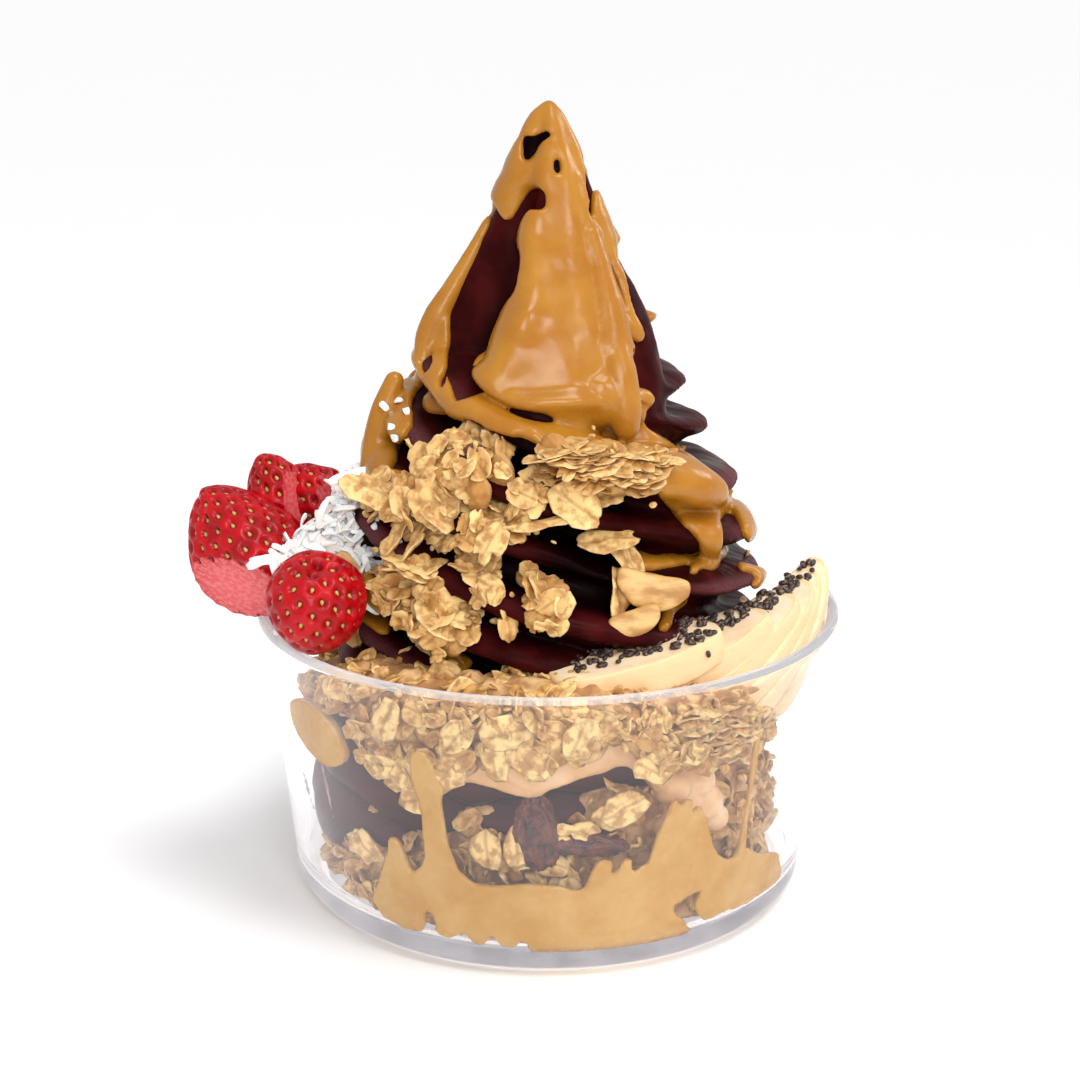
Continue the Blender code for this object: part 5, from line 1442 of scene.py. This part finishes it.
def film(bowl, outline, thick):
    """A smear on the glass: its outer face just inside the wall, its inner face rounded off."""
    around_by = 66.0 * math.pi / 180              # mm along the wall for each degree
    flat = rounded(outline, 1) * [around_by, 1.0]
    low, high = flat.min(0) - 1, flat.max(0) + 1
    counts = np.ceil((high - low) / FILM_GRAIN).astype(int)
    bpy.ops.mesh.primitive_grid_add(x_subdivisions=int(counts[0]), y_subdivisions=int(counts[1]), size=1.0)
    obj = made("film")
    grid = read(obj) * MM
    spots = low + (grid[:, :2] + 0.5) * (high - low)
    cover = inside_by(spots, flat)
    radius, height, out, down = wall_path(bowl, spots[:, 1])
    angle = np.radians(spots[:, 0] / around_by)
    lumps = 1 + 0.3 * waves(np.c_[spots, np.zeros(len(spots))], 14, 77)
    depth = thick * lumps * np.sqrt(1 - (1 - np.clip(cover / 1.5, 0, 1)) ** 2)

    def at(inward):
        r = radius - out * inward
        return columns(r * np.cos(angle), r * np.sin(angle), height - down * inward)

    quads = faces_of(obj)[0].reshape(-1, 4)
    quads = quads[(cover[quads] > -0.2).all(1)]
    bpy.data.objects.remove(obj)
    return closed_sheet("film", at(np.full(len(spots), -FILM_INTO)), at(np.maximum(depth, 0.15)), quads)


def closed_sheet(name, top, low, quads):
    """A closed sheet between two sets of points over the same quads."""
    used, compact = np.unique(quads, return_inverse=True)
    quads = compact.reshape(-1, 4)
    count = len(used)
    sides = np.concatenate([quads[:, [i, (i + 1) % 4]] for i in range(4)])
    _, first, uses = np.unique(np.sort(sides, axis=1), axis=0, return_index=True, return_counts=True)
    rim = sides[first[uses == 1]]
    walls = columns(rim[:, 1], rim[:, 0], rim[:, 0] + count, rim[:, 1] + count)
    faces = np.concatenate([quads, quads[:, ::-1] + count, walls])
    obj = mesh_piece(name, np.concatenate([top[used], low[used]]), faces.ravel(), np.full(len(faces), 4))
    return shape(obj, "VERT", everything, outward)


def sauce_on_glass(settings, bowl_settings):
    """The smear along the foot of the wall, with its tongue, its thread and the pool below."""
    bowl = Bowl(bowl_settings)
    thread = strung([([wall_spot(bowl, a, z, 0.6) for a, z in THREAD], [0.7, 1.0, 0.7, 1.3])], 0.5)
    obj = joined([film(bowl, SMEAR, 2.2), balls("thread", *thread)], "sauce_on_glass")
    # A lit copy of the sauce, painted paler for the veil of light on the glass in front of it.
    settled(melted(obj, GLASS_GRAIN, 3, faces=80000),
            shared("thin_butter", sauce_finish, paler(settings.colour, 0.4)),
            "peanut_butter", "peanut_butter_base")


def sauce_drop(settings, bowl_settings):
    """The big drop of sauce on the glass at the left."""
    obj = melted(film(Bowl(bowl_settings), WALL_DROP, 3.4), GLASS_GRAIN, 3)
    obj.name = obj.data.name = "sauce_drop"
    # A lit copy of the sauce, painted paler for the veil of light on the glass in front of it.
    settled(obj, shared("thin_butter", sauce_finish, paler(settings.colour, 0.4)),
            "peanut_butter", "peanut_butter_drop")


def cream_streaks(bowl_settings):
    """Thin streaks of soft serve on the glass at the left."""
    bowl = Bowl(bowl_settings)
    streaks = strung([([wall_spot(bowl, a, z, 0.2) for a, z in line],
                       [width * 0.6, width, width * 0.7, width * 0.3]) for line, width in STREAKS], 0.5)
    obj = melted(balls("cream_streaks", *streaks), GLASS_GRAIN, 2)
    write(obj, pressed(read(obj), bowl, 0.1))
    finish = Finish("thin_cream", roughness=0.35)
    finish.colour(finish.blend(finish.noise(3), (0.30, 0.15, 0.15), (0.52, 0.36, 0.36)))
    settled(obj, finish.material, "soft_serve")


RAISIN = (-19.4, 115.8)                       # a raisin in the granola crag, seen on the front
DRIED_FRUIT = [  # azimuth, height, depth in the bowl, size, tilt in radians, node
    (-92.3, 36.0, 6.4, (4.2, 6.0, 10.2), 0.12, "dried_fruit_upright"),
    (-80.5, 32.6, 6.2, (3.2, 10.4, 3.4), -0.12, "dried_fruit_flat")]


def dried_fruit(bowl_settings):
    """Two wrinkled dried berries at the front of the bowl, and the raisin in the crag."""
    bowl = Bowl(bowl_settings)
    finish = Finish("dried_skin", roughness=0.42, subsurface_weight=0.1, subsurface_scale=0.002)
    finish.colour(finish.mottled(finish.noise(2.5, detail=4.0), 0.35, 0.65, (0.045, 0.008, 0.006),
                                 (0.16, 0.045, 0.025)))
    finish.bump(finish.noise(1.0, detail=4.0, distortion=0.6), 0.3, 0.8)
    for azimuth, z, depth, size, tilt, node in DRIED_FRUIT:
        obj, unit = sphere(node + "_piece", 6)
        ridged = 1 - np.abs(waves(unit, 0.75, 5)) * 0.2 - np.abs(waves(unit, 0.35, 6)) * 0.08
        body = unit * (1 + 0.1 * waves(unit, 2.0, 7))[:, None] * ridged[:, None] * size
        angle = math.radians(azimuth)
        turn = np.array(Matrix.Rotation(angle, 3, "Z") @ Matrix.Rotation(tilt, 3, "X"))
        write(obj, body @ turn.T + wall_spot(bowl, azimuth, z, depth))
        settled(obj, finish.material, "dried_fruit", node)
    hit = Skin("swirl", "sauce_on_swirl").front(RAISIN)[0]
    obj, unit = sphere("raisin", 5)
    body = unit * (1 - np.abs(waves(unit, 0.7, 15)) * 0.25)[:, None] * (4.2, 2.6, 2.6)
    write(obj, body @ np.array(Matrix.Rotation(-0.7, 3, "Y")).T + hit + [0, -11.5, 0.5])
    settled(obj, finish.material, "dried_fruit")


# ---- strawberries --------------------------------------------------------------------------
BERRIES = [  # centre, tip, length, width, cuts as (distance, way), node
    ((-56.5, -38.5, 85.5), (-0.15, 0.45, -1), 27, 24.5, (), "berry_front"),
    ((-77, -11, 90.5), (-0.55, 0.2, 0.75), 36, 29, ((9.8, (-0.35, -0.75, -0.55)),), "berry_left"),
    ((-68.5, 2, 101), (-0.45, 0, 1), 25, 19, ((3.0, (0.2, 0.97, 0)), (5.2, (0.9, -0.36, 0.25))),
     "berry_wedge"),
    ((-59, 5, 100.5), (-0.8, 0.1, 0.75), 22, 17, ((3.0, (0.2, 0.97, 0)), (4.8, (0.8, -0.5, 0.3))),
     "berry_slice"),
    ((-53, 9, 98), (-0.3, 0.1, 1), 13, 10, ((2, (0.3, -0.1, -1)),), "berry_end")]


SKIN_PER_SEED = 15.0                          # square mm
GOLDEN_ANGLE = 2.399963                       # radians: turns neighbours evenly round a ball


def berry_finish():
    """Ripe strawberry: glossy red skin with painted shade in its pits, pale pink where it is cut."""
    finish = Finish("berry_skin", roughness=0.28, specular_ior_level=0.22, subsurface_weight=0.1,
                    subsurface_scale=0.003, subsurface_radius=(1.0, 0.12, 0.1),
                    coat_weight=0.04, coat_roughness=0.12)
    look = finish.marked()
    skin = finish.mottled(finish.noise(6), 0.35, 0.65, (0.33, 0.001, 0.004), (0.50, 0.002, 0.007))
    # Painted shade: the skin darkens where the mark says a pit lies.
    skin = finish.blend(finish.span(look[0], 0.1, 0.9, 0.0, 0.7), skin, (0.16, 0.003, 0.006))
    fibres = finish.noise(1.1, detail=3.0)
    flesh = finish.blend(look[2], (0.56, 0.018, 0.026), (0.76, 0.09, 0.10))
    flesh = finish.blend(finish.span(fibres, 0.4, 0.65, 0.0, 0.5), flesh, (0.88, 0.27, 0.26))
    finish.colour(finish.blend(look[1], skin, flesh))
    finish.bump(finish.noise(1.0, detail=3.0), 0.1, 0.4)
    return finish.material


def seed_finish():
    finish = Finish("berry_seed", roughness=0.4)
    finish.colour(finish.blend(finish.noise(3), (0.42, 0.26, 0.05), (0.62, 0.42, 0.12)))
    return finish.material


def seed_kind():
    """A small tear-shaped seed, 1.7 mm long."""
    obj, unit = sphere("seed", 10, 8)
    taper = 1 - 0.45 * unit[:, 0]
    return Kind(obj, columns(unit[:, 0] * 0.95, unit[:, 1] * 0.62 * taper, unit[:, 2] * 0.4))


def strawberries():
    """Cut strawberries with pitted skin and seeds."""
    skin, seed_look = berry_finish(), seed_finish()
    seed = seed_kind()
    for number, (centre, tip, long, wide, cuts, node) in enumerate(BERRIES):
        obj, unit = sphere(node + "_piece", 150, 110)

        def form(ball):
            t = (ball[:, 2] + 1) / 2
            girth = 1.02 - 0.42 * t ** 1.8 + 0.08 * np.sin(3.0 * t)
            body = ball * columns(girth * wide / 2, girth * wide / 2, np.full(len(t), long / 2))
            body[:, 2] += 2.4 * np.exp(-(radius_of(ball) / 0.3) ** 2) * (ball[:, 2] < 0)
            bulge = 1 + 0.035 * waves(ball, 1.3, 60 + number)
            if number == 1:
                bulge += 0.075 * step(-0.1, 0.12, ball @ np.array([-0.25, 0.96, 0.1]) - 0.12)
            return body * bulge[:, None]

        count = int(math.pi * wide * long * 0.86 / SKIN_PER_SEED)
        place = np.arange(count) + 0.5
        level = 1 - 2 * place / count
        golden = place * GOLDEN_ANGLE
        flat = np.sqrt(1 - level ** 2)
        pits = columns(flat * np.cos(golden), flat * np.sin(golden), level)
        near = np.concatenate([np.arccos(np.clip(part @ pits.T, -1, 1)).min(1)
                               for part in np.array_split(unit, 8)]) * wide / 2
        pit = np.exp(-(near / 1.05) ** 2)
        write(obj, form(unit))
        write(obj, form(unit) + facing(obj) * (0.4 - 1.5 * pit)[:, None])
        # The pit mark, which the skin reads for its painted shade.
        mark(obj, columns(pit, pit * 0, pit * 0))
        kept = np.abs(level) < 0.97
        turn = np.array(Vector(tip).to_track_quat("Z", "Y").to_matrix())
        for far, way in cuts:
            way = Vector(turn.T @ np.array(way, float)).normalized()
            shape(obj, "FACE", everything,
                  lambda: bpy.ops.mesh.bisect(plane_co=way * far * MM, plane_no=way, clear_outer=True,
                                              use_fill=True, threshold=0.000001))
            kept &= form(pits) @ np.array(way) < far - 0.8
        cut_flesh(obj)
        write(obj, read(obj) @ turn.T + centre)
        places = []
        for spot, was in zip(form(pits)[kept], pits[kept]):
            axis = np.array([0, 0, 1.0]) - was * was[2]
            axis /= np.linalg.norm(axis)
            frame = columns(axis, np.cross(was, axis), was)
            places.append((0, turn @ frame * 0.74, turn @ (spot - was * 0.7) + centre, 0.5))
        seeds = spread("seeds", [seed], places)
        seeds.data.materials.append(seed_look)
        obj.data.materials.append(skin)
        pick(obj)
        bpy.ops.object.shade_smooth_by_angle(angle=math.radians(50))
        pick(seeds)
        bpy.ops.object.shade_smooth()
        settled(joined([obj, seeds], node + "_piece"), None, "strawberry", node, smooth=False)


def cut_flesh(obj):
    """Give the cut faces rings from rim to heart and mark them as flesh."""
    faces = [f for f in obj.data.polygons if len(f.vertices) > 12]    # a cut has many corners
    middles = [tuple(f.center) for f in faces]
    look = [(v, 0.0) for f in faces for v in f.vertices]
    for middle in middles:
        for size, heart in [(0.999, 0.0), (0.93, 0.3), (0.75, 0.7), (0.5, 1.0)]:
            before = len(obj.data.vertices)
            shape(obj, "FACE",
                  lambda f: len(f.vertices) > 12 and (f.center - Vector(middle)).length < 0.5 * MM,
                  lambda: bpy.ops.mesh.extrude_region_move(),
                  lambda: bpy.ops.transform.resize(value=(size, size, size), center_override=middle))
            look += [(v, heart) for v in range(before, len(obj.data.vertices))]
    marks = obj.data.attributes["local"].data
    for index, heart in look:
        marks[index].vector = (0.0, 1.0, heart)


# ---- coconut -------------------------------------------------------------------------------
HEAP = ((-57.5, -19, 86.5), (9.5, 13, 13.5))  # centre, half size
DRIFTS = [  # centre, spread, shreds: loose coconut on and beside the heap
    ((-53.5, -17, 98), (6, 5, 5), 90), ((-50.5, -14, 106), (3.5, 4, 4), 50),
    ((-47.5, -22, 91), (5, 5, 4), 60), ((-58, -33, 87), (7, 3, 3), 34),
    ((-46.5, -10, 112), (2.5, 3, 2.5), 14), ((-62, -26, 93), (5, 4, 4), 30)]
RIBBONS = [  # centre, way, the way it faces, length: long clean strips in front
    ((-68.5, -33, 95.5), (1, 0.1, 0.05), (0, -1, 0.3), 10),
    ((-65, -35, 90), (0.35, 0.1, -1), (-0.4, -1, 0.2), 17),
    ((-71, -30, 94), (0.9, 0.1, 0.4), (0, -1, 0.5), 8),
    ((-62, -38.5, 80.5), (0.9, 0.1, 0.3), (0, -1, 0.5), 9),
    ((-50.5, -36, 83.5), (0.8, 0, 0.7), (0, -1, 0.4), 12),
    ((-51, -37, 86), (1, 0, 0.15), (0, -1, 0.4), 11),
    ((-52, -36, 81.5), (0.6, 0, 0.85), (0.2, -1, 0.2), 10),
    ((-44.5, -34, 84.5), (0.8, 0, -0.6), (0, -1, 0.4), 9),
    ((-49.5, -17, 112.5), (1, 0.1, 0.3), (0, -1, 0.4), 12)]
CHIPS = [(-37.2, 102.4), (-35.3, 104.7), (-37.8, 127.1), (-36, 124.6), (-39.8, 120.6), (-38.8, 117.9),
    (-41.6, 126), (-38.9, 89.8), (-43.6, 96.5), (-44.6, 94)]


def shred_kinds(count, seed):
    """Curved shreds of coconut: thin strips about 8 mm long."""
    rng = np.random.default_rng(seed)
    kinds = []
    for _ in range(count):
        bpy.ops.mesh.primitive_grid_add(x_subdivisions=8, y_subdivisions=2, size=1.0)
        obj = made("shred")
        shape(obj, "FACE", everything, lambda: bpy.ops.mesh.extrude_region_move(
            TRANSFORM_OT_translate={"value": (0, 0, 0.3 * MM)}), outward)
        grid = read(obj)
        x, y, z = grid[:, 0] * MM, grid[:, 1] * MM, grid[:, 2]
        long, wide = rng.uniform(6, 9.5), rng.uniform(1.5, 2.4)
        wide = wide * (1 - 0.45 * (2 * np.abs(x)) ** 4)
        bend, twist = rng.uniform(0.2, 1.5), rng.uniform(-0.9, 0.9)
        angle = x * bend
        across, lift = y * wide * np.cos(x * twist), y * wide * np.sin(x * twist)
        kinds.append(Kind(obj, columns(long / bend * np.sin(angle), across,
                                       -long / bend * (1 - np.cos(angle)) + z * 2.0 + lift)))
    return kinds


def coconut():
    """A heap of shredded coconut with strips and chips around it."""
    rng = np.random.default_rng(17)
    kinds = shred_kinds(8, 3)
    centre, size = np.array(HEAP[0]), np.array(HEAP[1])
    places = []
    for _ in range(230):
        out = rng.normal(0, 1, 3)
        out /= np.linalg.norm(out)
        facing_way = out + rng.normal(0, 0.35, 3)
        kind = int(rng.integers(8))
        turn = basis(facing_way, rng.uniform(0, 6)) * rng.uniform(0.7, 1.1)
        places.append((kind, turn, centre + out * size * rng.uniform(0.82, 1.06), rng.uniform(0, 1)))
    for middle, reach, count in DRIFTS:
        for _ in range(count):
            spot = np.array(middle) + rng.normal(0, 0.5, 3) * reach
            flat = np.array([-0.2, -0.7, 0.7]) + rng.normal(0, 0.5, 3)
            kind = int(rng.integers(8))
            turn = basis(flat, rng.uniform(0, 6)) * rng.uniform(0.55, 1.0)
            places.append((kind, turn, spot, rng.uniform(0, 1)))
    for middle, way, face, long in RIBBONS:
        axis = np.array(way, float) / np.linalg.norm(way)
        up = np.array(face, float) - axis * np.dot(face, axis)
        up /= np.linalg.norm(up)
        turn = columns(axis, np.cross(up, axis), up) @ np.diag((long / 7.5, 1.1, 1.0))
        places.append((int(rng.integers(8)), turn, middle, 0.9))
    skin = Skin("swirl", "sauce_on_swirl")
    for spot in CHIPS:
        hit, normal = skin.front(spot)
        kind = int(rng.integers(8))
        turn = basis(normal, rng.uniform(0, 3)) @ np.diag((0.42, 0.8, 0.6))
        places.append((kind, turn, hit + normal * 0.5, 0.9))
    shreds = spread("shreds", kinds, places)
    core, unit = sphere("core", 5)
    write(core, unit * (0.9 + 0.08 * waves(unit, 0.5, 2))[:, None] * size + centre)
    mark(core, np.zeros((len(unit), 3)))
    obj = joined([shreds, core], "coconut")
    pick(obj)
    bpy.ops.object.shade_smooth_by_angle(angle=math.radians(45))
    finish = Finish("coconut_flesh", roughness=0.55, subsurface_weight=0.3, subsurface_scale=0.002)
    finish.colour(finish.blend(finish.marked()[2], (0.93, 0.85, 0.81), (0.98, 0.96, 0.945)))
    finish.bump(finish.noise(0.9, detail=3.0), 0.08, 0.5)
    settled(obj, finish.material, "coconut", "coconut_heap", smooth=False)


# ---- banana and chia -----------------------------------------------------------------------
BANANA_EDGES = [  # azimuth, radius and height of the two ends of each slice's outer edge
    ((-85, 66, 70.5), (-49, 67, 77.5)), ((-77, 66, 63.5), (-31, 68, 77.5)),
    ((-63, 66, 59.5), (-18, 70.5, 78.5)), ((-50, 66.5, 57), (-10, 73, 79.5)),
    ((-38.5, 67, 55.5), (-5, 74, 81)), ((-27, 67.5, 54), (-2, 75.5, 82.5))]
BANANA_DEPTH = (21.0, 19.5, 17.5, 16.0, 14.5, 13.0)
BANANA_THICK = (8.0, 7.4, 6.6, 6.0, 5.6, 6.0)


def edge_ends(edge):
    """The two ends of a banana slice's outer edge."""
    return [Vector(polar(radius, math.radians(azimuth), z)) for azimuth, radius, z in edge]


def banana():
    """Slices of banana fanned along the right of the rim."""
    finish = Finish("banana_flesh", roughness=0.42, specular_ior_level=0.45, subsurface_weight=0.14,
                    subsurface_scale=0.003, subsurface_radius=(1.0, 0.75, 0.4))
    look = finish.marked()
    body = finish.blend(look[0], (0.94, 0.73, 0.50), (0.84, 0.57, 0.31))
    fibre = finish.noise(2.2, detail=3.0, stretch=(0.35, 0.35, 1.6))
    body = finish.blend(finish.span(fibre, 0.42, 0.68, 0.0, 0.22), body, (0.74, 0.44, 0.18))
    # Painted shade: the rim of each slice turns golden brown, standing for the shadowed lines between the
    # slices.
    body = finish.blend(finish.span(look[1], 0.95, 1.0, 0.0, 0.55), body, (0.80, 0.50, 0.20))
    spots = finish.span(finish.cells(4.0), 0.05, 0.09, 0.5, 0.0)
    rare = finish.span(finish.noise(7.0), 0.56, 0.62)
    finish.colour(finish.blend(finish.math("MULTIPLY", spots, rare), body, (0.38, 0.17, 0.04)))
    finish.bump(finish.noise(1.3, detail=3.0), 0.12, 0.4)
    for number, (edge, thick, depth) in enumerate(zip(BANANA_EDGES, BANANA_THICK, BANANA_DEPTH), 1):
        start, end = edge_ends(edge)
        run = (end - start).normalized()
        long = (end - start).length + 3.0
        middle = (start + end) / 2
        inward = Vector((-middle.x, -middle.y, 0)).normalized()
        inward = (inward - run * inward.dot(run)).normalized()
        turn = np.array(Matrix((run, inward, run.cross(inward))))
        obj, unit = sphere("banana_piece_%d" % number, 128, 48)
        angle = azimuth_of(unit)
        across, rise = disc(unit)
        square = np.abs(np.sin(angle)) ** 0.75 * np.sign(np.sin(angle))
        bow = 1 - 0.055 * (1 - np.sin(rise * math.pi) ** 0.6)
        facets = 1 + 0.012 * np.cos(5 * angle + number)
        x = across * bow * facets * np.cos(angle) * long / 2
        y = across * bow * facets * square * depth / 2
        z = np.cos(rise * math.pi) * thick / 2
        heart = np.exp(-(across / 0.32) ** 2)
        z -= np.sign(z) * heart * 0.35 * (1 + 0.8 * np.cos(3 * angle))
        slab = columns(x, y, z)
        slab[:, 2] += 0.3 * waves(slab, 11, number) + 0.1 * waves(slab, 3, number + 9)
        write(obj, slab @ turn + np.array(middle + inward * depth / 2))
        mark(obj, columns(heart, across, rise))
        settled(obj, finish.material, "banana", "banana_slice_%d" % number)


def chia():
    """Chia seeds strewn along the upper edge of the banana."""
    rng = np.random.default_rng(12)
    skin = Skin(*("banana_piece_%d" % number for number in range(1, 7)))
    obj, unit = sphere("chia", 2)
    kind = Kind(obj, unit * [1.12, 0.78, 0.62] * (1 - 0.15 * unit[:, :1]))
    places = []
    for number, (edge, depth) in enumerate(zip(BANANA_EDGES, BANANA_DEPTH)):
        start, end = edge_ends(edge)
        for _ in range(88 if number < 2 else 40):
            share = rng.beta(0.9, 0.9)
            start_at = (0.2 if number else 0.08) + 0.28 * (1 - share) + 0.2 * bool(number)
            inward = depth * min(0.97, abs(rng.normal(0, 0.3)) + start_at)
            spot = start.lerp(end, share)
            spot -= Vector((spot.x, spot.y, 0)).normalized() * inward
            hit, normal = skin.ray((spot.x, spot.y, 110), (0, 0, -1))
            if hit is None:
                continue
            turn = basis(normal + rng.normal(0, 0.3, 3), rng.uniform(0, 6)) * rng.uniform(0.85, 1.15)
            places.append((0, turn, hit + normal * 0.4, rng.uniform(0, 1)))
    finish = Finish("chia", roughness=0.38)
    finish.colour(finish.mottled(finish.noise(0.9, detail=3.0), 0.5, 0.68, (0.03, 0.014, 0.011),
                                 (0.22, 0.15, 0.12)))
    settled(spread("chia_seeds", [kind], places), finish.material, "banana")


# ---- the stage -----------------------------------------------------------------------------
class StageSettings(bpy.types.PropertyGroup):
    floor_size: length("Floor", "Width of the pale floor", 24000)
    light: FloatProperty(name="Key light", description="Strength of the key light",
                         default=1.12, min=0.0)
    sky: FloatProperty(name="Surround", description="Strength of the white surround",
                       default=0.68, min=0.0)
    glint: FloatProperty(name="Glints", description="Power of the two small lights at the right",
                         default=0.45, min=0.0, unit="POWER")
    front: FloatProperty(name="Front light", description="Power of the soft light above the camera",
                         default=2.2, min=0.0, unit="POWER")
    focal: FloatProperty(name="Focal length", description="Focal length of the camera",
                         default=76.7, min=1.0, unit="CAMERA")


def stage(settings):
    """A pale floor, a white surround, a soft high light from the right and the camera."""
    bpy.ops.mesh.primitive_plane_add(size=settings.floor_size)
    floor = made("studio_floor")
    finish = Finish("studio_floor", roughness=0.9, specular_ior_level=0.1)
    finish.colour(finish.blend(finish.noise(60), (0.965, 0.965, 0.97), (0.975, 0.975, 0.975)))
    floor.data.materials.append(finish.material)
    world = bpy.context.scene.world or bpy.data.worlds.new("surround")
    bpy.context.scene.world = world
    world.use_nodes = True
    sky = world.node_tree.nodes["Background"].inputs
    sky["Color"].default_value = (1, 1, 1, 1)
    sky["Strength"].default_value = settings.sky
    bpy.ops.object.light_add(type="SUN", rotation=(math.radians(12), math.radians(17), 0))
    lamp = bpy.context.active_object
    lamp.name = "key"
    lamp.data.energy = settings.light
    lamp.data.angle = math.radians(26)
    for place, power, size in [((330, -330, 420), settings.glint, 130),
                               ((420, 250, 380), settings.glint, 160),
                               ((60, -680, 430), settings.front, 320)]:
        bpy.ops.object.light_add(type="AREA", location=[c * MM for c in place])
        lamp = bpy.context.active_object
        lamp.name = "glint"
        lamp.data.size = size * MM
        lamp.data.energy = power
        lamp.rotation_euler = (Vector((0, 0, 110)) - Vector(place)).to_track_quat("-Z", "Y").to_euler()
    bpy.ops.object.camera_add(location=EYE * MM, rotation=(math.radians(EYE_TILT), 0, 0))
    camera = bpy.context.active_object
    camera.data.lens = settings.focal
    camera.data.sensor_width = 36
    camera.data.clip_start = 0.01
    bpy.context.scene.camera = camera
    bpy.context.scene.view_settings.view_transform = "Standard"


# ---- operators, panel and run --------------------------------------------------------------
class SOFTSERVE_OT_bowl(bpy.types.Operator):
    """Make the clear glass bowl"""
    bl_idname = "softserve.bowl"
    bl_label = "Glass bowl"

    def execute(self, context):
        glass_bowl(context.scene.cup_glass)
        return {"FINISHED"}


class SOFTSERVE_OT_swirl(bpy.types.Operator):
    """Make the tall swirl of soft serve"""
    bl_idname = "softserve.swirl"
    bl_label = "Swirl"

    def execute(self, context):
        swirl(context.scene.cup_swirl)
        return {"FINISHED"}


class SOFTSERVE_OT_sauce(bpy.types.Operator):
    """Run the sauce down the swirl"""
    bl_idname = "softserve.sauce"
    bl_label = "Sauce on the swirl"

    def execute(self, context):
        sauce_on_swirl(context.scene.cup_sauce)
        return {"FINISHED"}


class SOFTSERVE_OT_granola(bpy.types.Operator):
    """Stick granola clusters and flakes on the swirl"""
    bl_idname = "softserve.granola"
    bl_label = "Granola on the swirl"

    def execute(self, context):
        granola_on_swirl()
        nut()
        return {"FINISHED"}


class SOFTSERVE_OT_beds(bpy.types.Operator):
    """Lay the two beds of granola in the bowl"""
    bl_idname = "softserve.beds"
    bl_label = "Granola beds"

    def execute(self, context):
        bowl = Bowl(context.scene.cup_glass)
        granola_layer("granola_lower_bed", FLOOR_LINE, LOWER_TOP, LOWER_REACH, (4, 27), bowl,
                      (380, 0, 260), 51, "granola_lower", lower_extras())
        granola_layer("granola_upper_bed", OATS_LOW, OATS_TOP, OATS_REACH, (46, 50), bowl,
                      (470, 420, 420), 61, "granola_upper", upper_extras(bowl))
        return {"FINISHED"}


class SOFTSERVE_OT_filling(bpy.types.Operator):
    """Lay the coil of soft serve and the sauce on it"""
    bl_idname = "softserve.filling"
    bl_label = "Soft serve and sauce in the bowl"

    def execute(self, context):
        lower_cream(context.scene.cup_swirl)
        sauce_in_bowl(context.scene.cup_glass)
        return {"FINISHED"}


class SOFTSERVE_OT_smear(bpy.types.Operator):
    """Smear sauce, its drop and the streaks on the glass"""
    bl_idname = "softserve.smear"
    bl_label = "Sauce on the glass"

    def execute(self, context):
        sauce_on_glass(context.scene.cup_sauce, context.scene.cup_glass)
        sauce_drop(context.scene.cup_sauce, context.scene.cup_glass)
        cream_streaks(context.scene.cup_glass)
        return {"FINISHED"}


class SOFTSERVE_OT_dried(bpy.types.Operator):
    """Set the dried fruit at the front"""
    bl_idname = "softserve.dried"
    bl_label = "Dried fruit"

    def execute(self, context):
        dried_fruit(context.scene.cup_glass)
        return {"FINISHED"}


class SOFTSERVE_OT_berries(bpy.types.Operator):
    """Lean the cut strawberries on the rim"""
    bl_idname = "softserve.berries"
    bl_label = "Strawberries"

    def execute(self, context):
        strawberries()
        return {"FINISHED"}


class SOFTSERVE_OT_coconut(bpy.types.Operator):
    """Heap shredded coconut by the berries"""
    bl_idname = "softserve.coconut"
    bl_label = "Coconut"

    def execute(self, context):
        coconut()
        return {"FINISHED"}


class SOFTSERVE_OT_banana(bpy.types.Operator):
    """Fan the banana slices and strew chia on them"""
    bl_idname = "softserve.banana"
    bl_label = "Banana and chia"

    def execute(self, context):
        banana()
        chia()
        return {"FINISHED"}


class SOFTSERVE_OT_stage(bpy.types.Operator):
    """Set the floor, the lights and the camera"""
    bl_idname = "softserve.stage"
    bl_label = "Stage"

    def execute(self, context):
        stage(context.scene.cup_stage)
        return {"FINISHED"}


OPERATORS = [SOFTSERVE_OT_bowl, SOFTSERVE_OT_swirl, SOFTSERVE_OT_sauce,
             SOFTSERVE_OT_granola, SOFTSERVE_OT_beds, SOFTSERVE_OT_filling, SOFTSERVE_OT_smear,
             SOFTSERVE_OT_dried, SOFTSERVE_OT_berries, SOFTSERVE_OT_coconut, SOFTSERVE_OT_banana,
             SOFTSERVE_OT_stage]
GROUPS = {"cup_glass": GlassSettings, "cup_swirl": SwirlSettings, "cup_sauce": SauceSettings,
          "cup_stage": StageSettings}


class SOFTSERVE_PT_panel(bpy.types.Panel):
    """Lists the steps that build the cup"""
    bl_label = "Cup of soft serve"
    bl_idname = "SOFTSERVE_PT_panel"
    bl_space_type = "VIEW_3D"
    bl_region_type = "UI"
    bl_category = "Soft Serve"

    def draw(self, context):
        for operator in OPERATORS:
            self.layout.operator(operator.bl_idname)
        for name, group in GROUPS.items():
            box = self.layout.box()
            for key in group.__annotations__:
                box.prop(getattr(context.scene, name), key)


CLASSES = [*GROUPS.values(), *OPERATORS, SOFTSERVE_PT_panel]


def register():
    for cls in CLASSES:
        bpy.utils.register_class(cls)
    for name, group in GROUPS.items():
        setattr(bpy.types.Scene, name, PointerProperty(type=group))


def unregister():
    for name in GROUPS:
        delattr(bpy.types.Scene, name)
    for cls in reversed(CLASSES):
        bpy.utils.unregister_class(cls)


def main():
    register()
    for operator in OPERATORS:
        section, name = operator.bl_idname.split(".")
        getattr(getattr(bpy.ops, section), name)()


if __name__ == "__main__":
    main()
